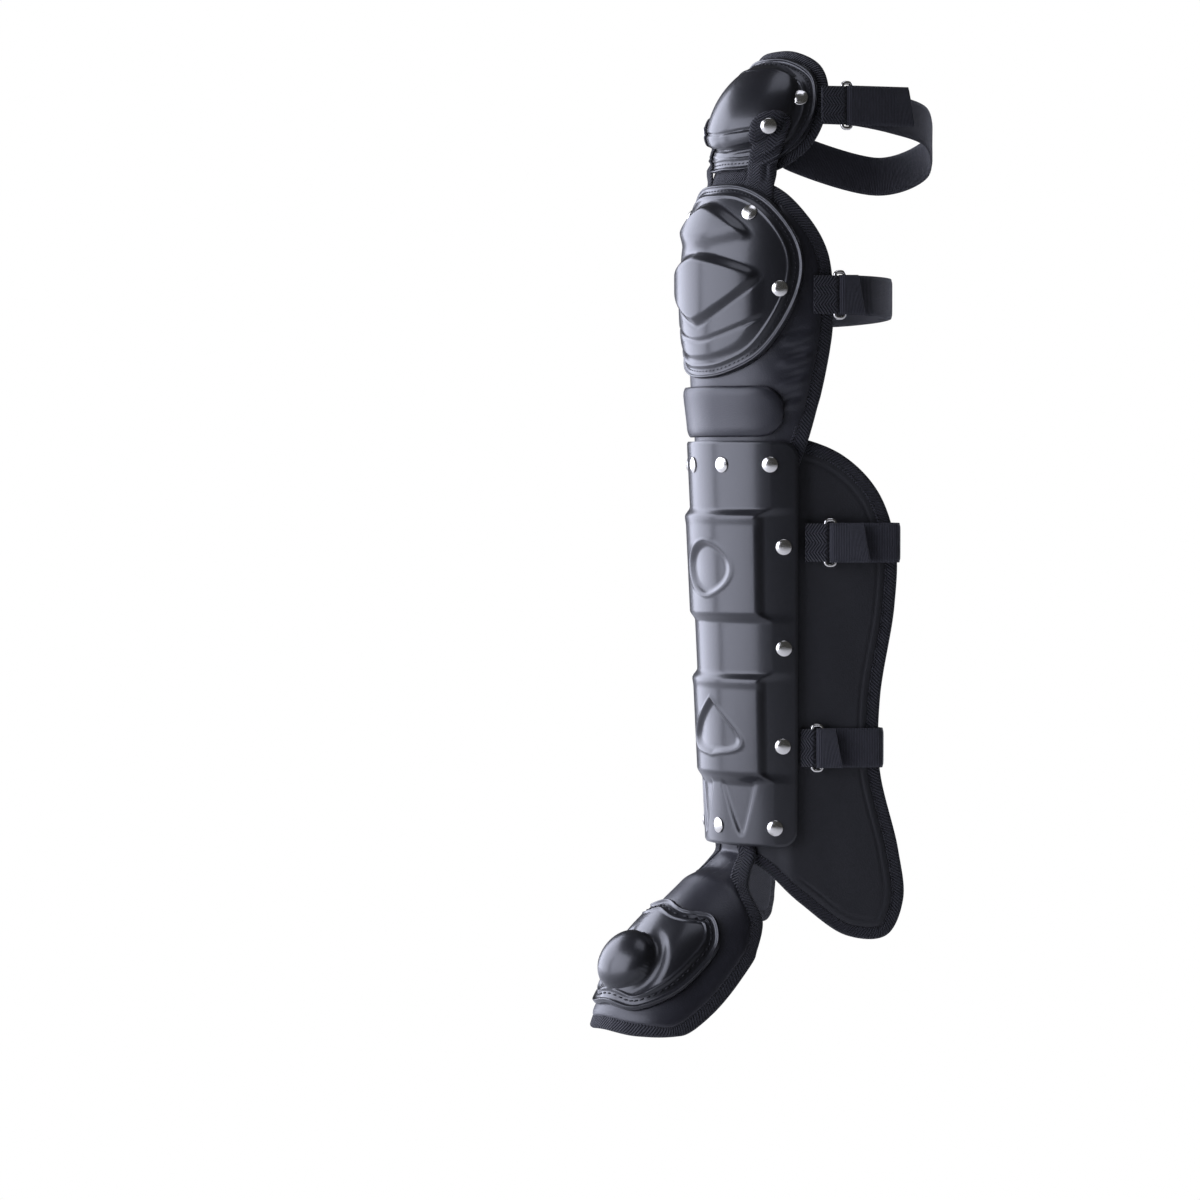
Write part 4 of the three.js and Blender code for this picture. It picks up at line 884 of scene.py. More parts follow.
def moulded_shell(finish, groups):
    material, tree, surface = new_material(
        "glossy_shell", finish.shell_colour, finish.shell_roughness, Coat_Weight=0.25,
        Coat_Roughness=0.16)
    place = coordinates(tree, "Object")
    worn = use_group(tree, groups["handling"], place, Scuffs=240.0, Amount=0.5)
    vary_colour(tree, surface, worn.outputs["Scuff"], finish.shell_colour,
                tint(finish.shell_colour, 2.2))
    vary_roughness(tree, surface, worn.outputs["Film"], finish.shell_roughness - 0.05,
                   finish.shell_roughness + 0.09)
    peel = add_node(tree, "ShaderNodeTexNoise", {"Vector": place, "Scale": 420.0, "Detail": 3.0})
    add_relief(tree, surface, peel.outputs[0], 0.00004)
    return material


def soft_vinyl(name, base, groups, glossiest, mattest):
    material, tree, surface = new_material(name, base, mattest)
    grain = use_group(tree, groups["grain"], coordinates(tree, "Object"), Fine=1100.0, Coarse=38.0)
    vary_colour(tree, surface, grain.outputs["Cloud"], tint(base, 0.8), tint(base, 1.25))
    vary_roughness(tree, surface, grain.outputs["Cloud"], glossiest, mattest)
    add_relief(tree, surface, grain.outputs["Height"], 0.00022)
    return material


def brushed_knit(finish):
    material, tree, surface = new_material(
        "brushed_knit", finish.lining_colour, 0.92, Sheen_Weight=0.12, Sheen_Roughness=0.5)
    place = coordinates(tree, "Object")
    nap = add_node(tree, "ShaderNodeTexNoise", {
        "Vector": place, "Scale": 1500.0, "Detail": 5.0, "Roughness": 0.75})
    cloud = add_node(tree, "ShaderNodeTexNoise", {"Vector": place, "Scale": 60.0, "Detail": 4.0})
    both = value_math(tree, "MULTIPLY_ADD", cloud.outputs[0], 0.5, nap.outputs[0])
    vary_colour(tree, surface, both, tint(finish.lining_colour, 0.55),
                tint(finish.lining_colour, 1.7))
    add_relief(tree, surface, both, 0.0004)
    return material


def woven(name, base, groups, ribs, slant, zigzag, threads, depth, roughness=0.85, sheen=0.1):
    material, tree, surface = new_material(
        name, base, roughness, Sheen_Weight=sheen, Sheen_Roughness=0.45)
    weave = use_group(tree, groups["ribbed_weave"], coordinates(tree, "UV"), Ribs=ribs,
                      Slant=slant, Zigzag=zigzag, Threads=threads)
    # Painted light and shade on the ribs: the colour runs from 0.2 to 2.6 of the base across each rib.
    vary_colour(tree, surface, weave.outputs["Shade"], tint(base, 0.2), tint(base, 2.6))
    add_relief(tree, surface, weave.outputs["Height"], depth)
    return material


def bright_nickel(finish, groups):
    material, tree, surface = new_material(
        "bright_nickel", finish.metal_colour, 0.2, Metallic=1.0)
    worn = use_group(tree, groups["handling"], coordinates(tree, "Object"), Scuffs=500.0, Amount=0.8)
    vary_roughness(tree, surface, worn.outputs["Film"], 0.12, 0.3)
    vary_colour(tree, surface, worn.outputs["Scuff"], finish.metal_colour,
                tint(finish.metal_colour, 0.75))
    return material


def buckle_plastic(finish, groups):
    material, tree, surface = new_material("buckle_plastic", finish.plastic_colour, 0.4)
    grain = use_group(tree, groups["grain"], coordinates(tree, "Object"), Fine=1600.0, Coarse=90.0)
    vary_colour(tree, surface, grain.outputs["Cloud"], tint(finish.plastic_colour, 0.8),
                tint(finish.plastic_colour, 1.3))
    vary_roughness(tree, surface, grain.outputs["Cloud"], 0.3, 0.5)
    add_relief(tree, surface, grain.outputs["Height"], 0.00006)
    return material


def sewing_thread(finish):
    material, tree, surface = new_material("sewing_thread", finish.thread_colour, 0.6)
    twist = add_node(tree, "ShaderNodeTexNoise", {
        "Vector": coordinates(tree, "Object"), "Scale": 2600.0, "Detail": 2.0})
    vary_colour(tree, surface, twist.outputs[0], tint(finish.thread_colour, 0.5),
                tint(finish.thread_colour, 1.8))
    add_relief(tree, surface, twist.outputs[0], 0.0002)
    return material


MATERIALS = {}


def prepare_materials(finish):
    """Builds each node group and material once."""
    if MATERIALS:
        return MATERIALS
    groups = {
        "ribbed_weave": make_ribbed_weave(), "grain": make_grain(), "handling": make_handling()}
    MATERIALS["shell"] = moulded_shell(finish, groups)
    MATERIALS["vinyl"] = soft_vinyl("soft_vinyl", finish.vinyl_colour, groups, 0.3, 0.46)
    # The wings' cover is the pad vinyl made matter and painted darker, to 0.45 of its colour: painted
    # shade.
    MATERIALS["wing"] = soft_vinyl(
        "matte_wing_painted_shade", tint(finish.vinyl_colour, 0.45), groups, 0.55, 0.75)
    MATERIALS["lining"] = brushed_knit(finish)
    MATERIALS["tape"] = woven(
        "twill_tape", finish.tape_colour, groups, 440.0, 0.9, 0.0075, 1300.0, 0.0013)
    MATERIALS["webbing"] = woven(
        "ribbed_webbing", finish.tape_colour, groups, 470.0, 0.7, 0.0065, 1300.0, 0.0013)
    MATERIALS["elastic"] = woven(
        "strap_elastic", finish.elastic_colour, groups, 900.0, 0.0, 0.01, 1100.0, 0.00035, 0.8, 0.2)
    MATERIALS["nickel"] = bright_nickel(finish, groups)
    MATERIALS["plastic"] = buckle_plastic(finish, groups)
    MATERIALS["thread"] = sewing_thread(finish)
    return MATERIALS


# The add-on.

def length_property(name, description, default):
    return bpy.props.FloatProperty(
        name=name, description=description, default=default * MM, unit="LENGTH", subtype="DISTANCE")


def colour_property(name, description, default):
    return bpy.props.FloatVectorProperty(
        name=name, description=description, default=default, size=3, min=0, max=1, subtype="COLOR")


class LegGuardSizes(bpy.types.PropertyGroup):
    """Sizes that can change without leaving the solids."""

    cap_stitch: length_property("Cap Stitch", "Length of one stitch in the caps' grooves", 2.6)
    thread: length_property("Thread", "Radius of the sewing thread", 0.42)
    tape_width: length_property("Tape Width", "Width of the binding on each face", 9.0)
    camera_distance: length_property("Camera Distance", "From the leg's axis to the camera", 2957)
    floor_drop: length_property("Floor Drop", "How far the floor lies below the knee", 560)


class LegGuardFinish(bpy.types.PropertyGroup):
    """Colours and gloss."""

    shell_colour: colour_property("Shell", "Moulded shell and caps", (0.011, 0.0112, 0.0135))
    vinyl_colour: colour_property("Vinyl", "Outer cover of the pads", (0.017, 0.017, 0.022))
    lining_colour: colour_property("Lining", "Brushed inner cloth", (0.011, 0.011, 0.015))
    tape_colour: colour_property("Tape", "Binding tape and webbing", (0.009, 0.009, 0.013))
    elastic_colour: colour_property("Elastic", "Leg straps", (0.013, 0.013, 0.018))
    metal_colour: colour_property("Nickel", "Rivets and rings", (0.74, 0.72, 0.67))
    plastic_colour: colour_property("Buckles", "Clip buckles", (0.012, 0.012, 0.015))
    thread_colour: colour_property("Thread", "Sewing thread", (0.006, 0.006, 0.008))
    shell_roughness: bpy.props.FloatProperty(
        name="Shell Roughness", description="Roughness of the moulded shell", default=0.29,
        min=0.05, max=1, subtype="FACTOR")


class PieceOperator:
    """Shared by the operators: the settings and the materials."""

    bl_options = {"REGISTER", "UNDO"}

    def prepare(self, context):
        self.sizes = context.scene.leg_guard_sizes
        self.finish = context.scene.leg_guard_finish
        self.looks = prepare_materials(self.finish)

    def add_tape(self, name, surface, outline, middle_lift, steps, node, extra=0):
        width = self.sizes.tape_width / MM + extra
        mesh = tape_mesh(name, surface, outline, middle_lift, width, steps)
        dress(add_object(name, mesh, self.looks["tape"]), "tape", node)
        seam = bmesh.new()
        for side in (1, -1):
            def lift(across, up, side=side):
                return middle_lift(across, up) + side * (TAPE_THICKNESS / 2 + SEAM_PROUD)
            stitch_outline(seam, surface, lift, outline, width - 1.4, 3.4, 2.4, 0.3)
        piece = add_object(name + "_seam", mesh_of(seam, name + "_seam"), self.looks["thread"])
        dress(piece, "tape")

    def add_pad(self, name, node, surface, outline, centre_up, lifts, count, cover, slot, fill):
        mesh = sheet_mesh(
            name, surface, ring_chart(outline, centre_up, PAD_INSET), lifts, count, count)
        piece = add_object(name, mesh, self.looks[cover], self.looks["lining"])
        dress(piece, slot, node, fill=fill)

    def add_cap(self, name, surface, outline, centre_up, lift, count, stitching):
        """A moulded cap and the row of stitches in its groove; name is its node's name too."""
        def lifts(across, up):
            top = lift(across, up)
            return top - CAP_WALL, top
        mesh = sheet_mesh(
            name + "_shell", surface, ring_chart(outline, centre_up), lifts, count, count)
        dress(soften(add_object(name + "_shell", mesh, self.looks["shell"]), 0.5), "shell", name)
        rows = bmesh.new()
        stitch_outline(rows, surface, lift, outline, *stitching)
        dress(add_object(name + "_stitches", mesh_of(rows, "rows"), self.looks["thread"]), "shell")


class LEGGUARD_OT_thigh(PieceOperator, bpy.types.Operator):
    """Add the thigh pad, its binding and its moulded cap"""

    bl_idname = "leg_guard.add_thigh"
    bl_label = "Thigh Pad and Cap"

    def execute(self, context):
        self.prepare(context)

        def pad_lifts(across, up):
            inset = thigh_pad_outline.inset_of(across, up) - PAD_INSET
            return pad_edge(inset, 0 * up, 0 * up + PAD_THICKNESS)
        self.add_pad(
            "thigh_pad_cover", "thigh_pad", thigh_surface, thigh_pad_outline, 244, pad_lifts, 72,
            "vinyl", "lining", 0.7)
        self.add_tape("thigh_tape", thigh_surface, thigh_pad_outline,
                      lambda across, up: 0 * up + PAD_THICKNESS / 2, 260, "thigh_binding")
        self.add_cap(
            "thigh_cap", thigh_surface, thigh_cap_outline, 243, thigh_cap_lift, 110,
            (CAP_GROOVE, 3.6, self.sizes.cap_stitch / MM, self.sizes.thread / MM, 0.25))
        return {"FINISHED"}


class LEGGUARD_OT_knee(PieceOperator, bpy.types.Operator):
    """Add the knee pad, its binding, its moulded cap and the plain patch below it"""

    bl_idname = "leg_guard.add_knee"
    bl_label = "Knee Pad, Cap and Patch"

    def execute(self, context):
        self.prepare(context)

        def pad_lifts(across, up):
            inset = knee_pad_outline.inset_of(across, up) - PAD_INSET
            low, high = knee_pad_range(up)
            inner, outer = pad_edge(inset, low, high)
            free = smooth(up, PANEL_TOP + 4, PANEL_TOP + 26)
            outer = outer + wrinkles(across, up) * smooth(inset, 3, 12) * free
            inner = inner + quilting(across, up) * smooth(inset, 3, 9) * free
            return inner, np.minimum(outer, high + 0.6 - link_dent(across, up))
        self.add_pad(
            "knee_pad_cover", "knee_pad", leg_surface, knee_pad_outline, 95, pad_lifts, 130,
            "vinyl", "vinyl", 0.6)

        def middle(across, up):
            low, high = knee_pad_range(up)
            return (low + high) / 2
        self.add_tape("knee_tape", leg_surface, knee_pad_outline, middle, 420, "knee_binding", 2)
        self.add_cap(
            "knee_cap", leg_surface, knee_cap_outline, KNEE_CAP_MIDDLE, knee_cap_lift, 150,
            (CAP_GROOVE, 3.4, self.sizes.cap_stitch / MM, self.sizes.thread / MM, 0.25))
        self.add_patch()
        return {"FINISHED"}

    def add_patch(self):
        """The plain puffed patch under the knee cap."""
        def lifts(across, up):
            inset = badge_outline.inset_of(across, up)
            share = np.clip(inset / 7, 0, 1)
            puff = BADGE_PUFF * np.sqrt(1 - (1 - share) ** 2)
            return 0 * up + BADGE_SEAT, BADGE_SEAT + 1.4 + puff
        half = BADGE_ANGLE * CALF_RADIUS
        chart = box_chart(half, BADGE_BOTTOM, BADGE_TOP, BADGE_CORNER)
        mesh = sheet_mesh("plain_patch", leg_surface, chart, lifts, 110, 46)
        dress(add_object("plain_patch", mesh, self.looks["vinyl"]), "vinyl", "knee_badge", fill=0.8)


class LEGGUARD_OT_shin(PieceOperator, bpy.types.Operator):
    """Add the shin panel with its wings, its binding and the moulded shin shell"""

    bl_idname = "leg_guard.add_shin"
    bl_label = "Shin Panel and Shell"

    def execute(self, context):
        self.prepare(context)

        def panel_lifts(across, up):
            inset = panel_outline.inset_of(across, up) - PAD_INSET
            thick = panel_thickness(across, up)
            inner, outer = pad_edge(inset, 0 * up, thick, 7.0)
            piping = 0.5 * bump(inset - 7, 1.6) * smooth(np.abs(across), WING_START, WING_START + 6)
            slack = 0.25 * np.sin(across * 0.13 + up * 0.021) * np.sin(up * 0.047 + 1.3)
            wing = smooth(np.abs(across), WING_START + 8, WING_START + 26)
            return inner, outer - piping + slack * wing
        # The panel's outer face takes the wing material: the pad vinyl with painted shade.
        self.add_pad(
            "shin_panel_cover", "shin_panel", leg_surface, panel_outline, -140, panel_lifts, 140,
            "wing", "lining", 0.5)
        self.add_tape("shin_tape", leg_surface, panel_outline,
                      lambda across, up: panel_thickness(across, up) / 2, 640, "shin_binding")

        def shell_lifts(across, up):
            top = shell_lift(across, up)
            return top - SHELL_WALL, top
        chart = box_chart(WING_START, SHELL_BOTTOM, SHELL_TOP, SHELL_CORNER)
        mesh = sheet_mesh("shin_shell_moulding", leg_surface, chart, shell_lifts, 130, 300)
        dress(soften(add_object("shin_shell_moulding", mesh, self.looks["shell"]), 0.6), "shell",
              "shin_shell")
        return {"FINISHED"}


class LEGGUARD_OT_foot(PieceOperator, bpy.types.Operator):
    """Add the instep pad, its binding and the moulded toe cap"""

    bl_idname = "leg_guard.add_foot"
    bl_label = "Instep Pad and Toe Cap"

    def execute(self, context):
        self.prepare(context)

        def pad_lifts(across, along):
            inset = flap_outline.inset_of(across, along) - PAD_INSET
            low, high = flap_range(along)
            return pad_edge(inset, low, high, 7.0)
        self.add_pad(
            "instep_pad_cover", "foot_pad", flap_surface, flap_outline, FLAP_LENGTH * 0.5,
            pad_lifts, 90, "vinyl", "vinyl", 0.6)

        def middle(across, along):
            low, high = flap_range(along)
            return (low + high) / 2
        self.add_tape("instep_tape", flap_surface, flap_outline, middle, 300, "foot_binding", 4)
        self.add_cap(
            "toe_cap", flap_surface, toe_cap_outline, FLAP_LENGTH * 0.68, toe_cap_lift, 110,
            (5.6, 5.0, 4.2, self.sizes.thread / MM * 1.5, 0.12, 0.25))
        return {"FINISHED"}


# Heights and angles of the shell's rivets, and of the caps' rivets on each side.
SHELL_RIVETS = [
    ("top", 5, (-43, -14, 14, 43)), ("upper", -51, (-50, 50)), ("middle", -120, (-50, 50)),
    ("lower", -187, (-49, 49)), ("bottom", -243, (-44, 0, 44)),
]
CAP_RIVETS = [("knee_top", 176, 31), ("knee_side", 124, 48.5)]
THIGH_RIVET = (255, 41.5)
LINK_RIVET_UP = 235


class LEGGUARD_OT_links(PieceOperator, bpy.types.Operator):
    """Add the webbing links from the knee to the thigh, and every rivet"""

    bl_idname = "leg_guard.add_links"
    bl_label = "Links and Rivets"

    def execute(self, context):
        self.prepare(context)
        for side, name in ((1, "left"), (-1, "right")):
            middle = side * LINK_ANGLE * CALF_RADIUS
            half = LINK_WIDTH / 2 / (THIGH_RADIUS + PAD_THICKNESS) * CALF_RADIUS

            def place(x, y, layer, middle=middle, half=half):
                up = mix(LINK_BOTTOM, LINK_TOP, (y + 1) / 2)
                over = np.maximum(0, up - LINK_TOP + half) / half
                width = half * np.sqrt(np.maximum(0.02, 1 - over**2))
                across = middle + x * width
                point, normal = link_surface(across, up)
                thick = LINK_THICKNESS * np.maximum(0.3, 1 - np.abs(x) ** 8 * 0.7)
                lift = np.where(layer > 0, thick, 0.0)
                return point + normal * lift[:, None], np.stack([up, across - middle], axis=1)
            mesh = grid_mesh("link_" + name, 24, 110, place, layers=True)
            dress(add_object("webbing_link_" + name, mesh, self.looks["webbing"]), "webbing",
                  "link_" + name)
        self.add_rivets()
        return {"FINISHED"}

    def add_rivets(self):
        heads = bmesh.new()
        nodes = []
        for row, up, angles in SHELL_RIVETS:
            for index, angle in enumerate(angles):
                across = math.radians(angle) * CALF_RADIUS
                add_rivet(heads, *frame_on(leg_surface, shell_lift, across, up))
                nodes.append(f"rivet_{row}_{index + 1}")
        for side, name in ((1, "left"), (-1, "right")):
            for row, up, angle in CAP_RIVETS:
                across = side * math.radians(angle) * CALF_RADIUS
                add_rivet(heads, *frame_on(leg_surface, knee_cap_lift, across, up))
                nodes.append(f"rivet_{row}_{name}")
            up, angle = THIGH_RIVET
            across = side * math.radians(angle) * CALF_RADIUS
            add_rivet(heads, *frame_on(thigh_surface, thigh_cap_lift, across, up))
            nodes.append("rivet_thigh_" + name)
            across = side * LINK_ANGLE * CALF_RADIUS

            def on_link(a, u):
                return thigh_cap_lift(a, u) + LINK_GAP + LINK_THICKNESS
            add_rivet(heads, *frame_on(thigh_surface, on_link, across, LINK_RIVET_UP))
            nodes.append("rivet_link_" + name)
        piece = add_object("rivet_heads", mesh_of(heads, "rivet_heads"), self.looks["nickel"])
        dress(piece, "nickel", *nodes)
        self.add_washers()

    def add_washers(self):
        """Ring-shaped rivet backs that show on the lining inside the wings."""
        backs = bmesh.new()
        profile = [(1.6, 0.1), (1.9, 0.7), (3.2, 1.1), (4.4, 0.7), (4.8, -0.4), (1.6, -0.4)]
        profile = [(out * MM, rise * MM) for out, rise in profile]
        for up, angle in ((-51, 50), (-120, 50), (-187, 49)):
            for side in (1, -1):
                across = side * math.radians(angle) * CALF_RADIUS
                point, normal = leg_surface(np.array([across]), np.array([float(up)]))
                add_spun(backs, profile, 24, turned_to(-normal[0], point[0]), closed=True)
        piece = add_object("rivet_backs", mesh_of(backs, "rivet_backs"), self.looks["nickel"])
        dress(piece, "nickel")


# start is the angle round the leg, flare the outward lean, depth how far back the strap goes,
# and dip how far the buckle points down.
LEG_STRAPS = [
    dict(name="thigh", surface=thigh_surface, up=250, back=210, other=252, start=math.radians(57),
         flare=0.2, depth=106, tail=46, edge_drop=0, dip=math.radians(26)),
    dict(name="knee", surface=leg_surface, up=120, back=116, other=120, start=math.radians(66),
         flare=0.3, depth=58, tail=14, edge_drop=0.7, dip=0),
]
SHIN_STRAPS = [
    dict(name="calf", up=-48, reach=0.98, tail=24, tab=1),
    dict(name="ankle", up=-188, reach=0.82, tail=14, tab=0.5),
]
TAB_LENGTH, BUCKLE_TAB_LENGTH = 13.0, 8.0
FLIP = np.array([-1.0, 1.0, 1.0])


def spot(surface, across, up, lift):
    return raised(surface, np.array([across]), np.array([float(up)]), np.array([lift]))[0]


class LEGGUARD_OT_straps(PieceOperator, bpy.types.Operator):
    """Add the four elastic straps with their tabs, rings and clip buckles"""

    bl_idname = "leg_guard.add_straps"
    bl_label = "Straps, Rings and Buckles"

    def execute(self, context):
        self.prepare(context)
        for row in LEG_STRAPS:
            self.add_leg_strap(**row)
        for row in SHIN_STRAPS:
            self.add_shin_strap(**row)
        return {"FINISHED"}

    def add_leg_strap(
            self, name, surface, up, back, other, start, flare, depth, tail, edge_drop, dip):
        on_pad = PAD_THICKNESS - edge_drop + TOUCH + STRAP_THICKNESS / 2
        tab_start = spot(surface, start * CALF_RADIUS, up, on_pad)
        along = np.array([flare, math.sqrt(1 - flare**2), 0])
        out_face = np.cross(along, UP)
        tab_end = tab_start + along * TAB_LENGTH + out_face
        other_start = spot(surface, start * CALF_RADIUS, other, on_pad + math.sin(dip)) * FLIP
        other_along = along * FLIP * math.cos(dip) - UP * math.sin(dip)
        plate_top = other_start + other_along * BUCKLE_TAB_LENGTH + out_face * FLIP
        buckle_start = plate_top + other_along * (BUCKLE_LENGTH + 2 * TOUCH)

        def loop(inner):
            width, room = inner[0], depth - inner[1]
            return [
                (width * 1.03, inner[1] + room * 0.35, mix(up, back, 0.1)),
                (width * 0.8, inner[1] + room * 0.74, mix(up, back, 0.28)),
                (width * 0.1, depth, mix(up, back, 0.75)),
                (-width * 0.66, inner[1] + room * 0.88, back),
            ]
        self.add_strap(
            name, tab_start, tab_end, along, other_along, tail, loop, buckle_start, other_start, 1.5)

    def add_shin_strap(self, name, up, reach, tail, tab):
        def on(beyond, lift):
            return spot(leg_surface, WING_START + beyond, up, lift)
        flat = WING_THICKNESS + TOUCH * 2 + STRAP_THICKNESS / 2
        ring_lift = flat + WIRE / 2 + TOUCH * 1.5 + STRAP_THICKNESS / 2
        along = np.array([math.cos(SHELL_ANGLE), math.sin(SHELL_ANGLE), 0])
        edge = reach * WING_REACH
        turn = [
            on(edge - 3, flat), on(edge + 1.1, flat - 1.1),
            on(edge + STRAP_THICKNESS * 0.5 + 1.4, WING_THICKNESS / 2), on(edge + 0.8, -0.3),
        ]
        x, y, z = turn[3]
        sink = WING_THICKNESS + TOUCH * 2.5 + BUCKLE_THICKNESS / 2 - flat

        def loop(inner):
            return [
                *turn, (x * 0.55, y + 9, up), (0, y + 12, up), (-x * 0.55, y + 9, up),
                *[point * FLIP for point in turn[::-1]],
            ]
        self.add_strap(
            name, on(5 * tab, flat), on(17 * tab, ring_lift), along, along * FLIP, tail, loop,
            on(edge - 7, flat) * FLIP, on(1.5, flat) * FLIP, sink)

    def add_strap(
            self, name, start, tab_end, along, other_along, tail, loop, buckle_start,
            buckle_tab_start, sink):
        looks = self.looks
        out_face = np.cross(along, UP)
        ring_centre = tab_end + along * (RING_OPENING / 2 + WIRE + TOUCH)
        reach = RING_OPENING / 2 + WIRE / 2
        far_bar, near_bar = ring_centre + along * reach, ring_centre - along * reach
        wrap = WIRE / 2 + TOUCH * 1.5 + STRAP_THICKNESS / 2
        turn = np.linspace(0, math.pi, 13)[:, None]
        around = far_bar + out_face * wrap * np.cos(turn) - along * (wrap + 1.1) * np.sin(turn)
        outer, inner = around[0], around[-1]
        tail_end = [outer + along * tail * share + out_face * 0.8 * share for share in (1, 0.66, 0.33)]
        other_face = out_face * FLIP
        back = curve_through(
            [inner, inner + along * 4, *loop(inner), buckle_start + other_along * 5, buckle_start],
            False, 12)[1:]
        path = np.vstack([tail_end, around, back])
        mesh = band_mesh("strap", path, STRAP_WIDTH, STRAP_THICKNESS, 380, slant=5)
        dress(add_object("elastic_" + name, mesh, looks["elastic"]), "elastic", "strap_" + name)
        tab_wrap = WIRE / 2 + TAB_LIFT
        tab_turn = near_bar + out_face * tab_wrap * np.cos(turn) + along * tab_wrap * np.sin(turn)
        tab_path = np.vstack([
            [start + out_face * TAB_LIFT, mix(start, tab_turn[0], 0.5) + out_face * 0.5], tab_turn,
            [mix(start, tab_turn[-1], 0.5) - out_face * 0.1, start - out_face * 0.55]])
        mesh = band_mesh("tab", tab_path, TAB_WIDTH, TAB_THICKNESS, 60)
        dress(add_object("tab_loop_" + name, mesh, looks["webbing"]), "webbing", "ring_tab_" + name)
        self.add_ring(name, ring_centre, along, out_face)
        gap = -(BUCKLE_LENGTH / 2 + BUCKLE_GAP)
        plate = buckle_start + other_along * gap
        self.add_buckle(name, plate + other_face * sink, other_along, other_face)
        tab_top = plate + other_along * gap
        mesh = band_mesh(
            "tab", [tab_top, tab_top - other_along * 1.5, buckle_tab_start], TAB_WIDTH,
            STRAP_THICKNESS, 24)
        dress(add_object("buckle_loop_" + name, mesh, looks["webbing"]), "webbing",
              "buckle_tab_" + name)
        self.add_seams(name, path)

    def add_ring(self, name, centre, along, out_face):
        corner = 2.2
        long_half, short_half = STRAP_WIDTH / 2 + WIRE * 0.75, RING_OPENING / 2 + WIRE / 2
        path = []
        for quarter, (sign_up, sign_along) in enumerate(((1, 1), (-1, 1), (-1, -1), (1, -1))):
            for step in range(7):
                angle = (quarter + step / 6) * math.pi / 2
                outward = UP * math.cos(angle) + along * math.sin(angle)
                path.append(centre + UP * sign_up * (long_half - corner)
                            + along * sign_along * (short_half - corner) + outward * corner)
        mesh = tube_mesh("ring", np.array(path), WIRE / 2, 72)
        dress(add_object("wire_ring_" + name, mesh, self.looks["nickel"]), "nickel", "ring_" + name)

    def add_buckle(self, name, centre, along, out_face):
        """A side-release buckle: a socket with open flanks, and a plug with two spring arms."""
        shape = bmesh.new()
        basis = Matrix((Vector(along), Vector(np.cross(out_face, along)), Vector(out_face)))
        place = Matrix.Translation(Vector(to_frame(centre))) @ (basis.transposed() * MM).to_4x4()
        # Each block: centre and half size along the strap, across it and through it.
        blocks = [
            ((6, 0, 3.1), (9.5, 16.5, 1.2)), ((6, 0, -3.1), (9.5, 16.5, 1.2)),
            ((14.4, 15.2, 0), (6, 2.2, 4.2)), ((14.4, -15.2, 0), (6, 2.2, 4.2)),
            ((19.3, 0, 0), (1.6, 17, 3.6)), ((13.4, 0, -3.1), (4, 13, 1.2)),
            ((6, 0, 0), (9, 3.2, 2.2)), ((0.5, 10.8, 0), (3.2, 4.4, 3.0)),
            ((0.5, -10.8, 0), (3.2, 4.4, 3.0)), ((-7.2, 0, 0), (3.2, 17.2, 3.4)),
            ((-12.5, 16, 0), (6.5, 1.8, 3.0)), ((-12.5, -16, 0), (6.5, 1.8, 3.0)),
            ((-19.2, 0, 0), (1.7, 17.6, 2.6)), ((-14.2, 0, -0.4), (1.6, 15, 1.8)),
            ((3, 15.6, 0), (7, 1.5, 2.1)), ((3, -15.6, 0), (7, 1.5, 2.1)),
        ]
        for middle, half in blocks:
            size = Matrix.Diagonal((*(value * 2 for value in half), 1))
            bmesh.ops.create_cube(
                shape, size=1, matrix=place @ Matrix.Translation(Vector(middle)) @ size)
        bmesh.ops.bevel(
            shape, geom=shape.edges[:], offset=0.0006, segments=2, profile=0.5,
            affect="EDGES", material=-1)
        piece = add_object("clip_buckle_" + name, mesh_of(shape, "buckle"), self.looks["plastic"])
        dress(piece, "plastic", "buckle_" + name)

    def add_seams(self, name, path):
        """Two bars of stitches on both faces, 4 and 10 mm from the strap's end at its buckle, where it
        is sewn back.
        """
        line = evenly(path, 900)
        _, wide, face, length = ribbon_frame(line)
        seam = bmesh.new()
        for from_end in (4.0, 10.0):
            index = int((1 - from_end / length) * 899)
            rises = np.arange(-11, 11.5, 1.9)
            for side in (1, -1):
                points = line[index] + wide[index] * rises[:, None]
                points = points + face[index] * side * (STRAP_THICKNESS / 2 + SEAM_PROUD)
                normals = np.tile(face[index] * side, (len(rises), 1))
                add_stitches(seam, points, normals, 1.5, 0.28, 0.3)
        piece = add_object("strap_seam_" + name, mesh_of(seam, "seam"), self.looks["thread"])
        dress(piece, "elastic")


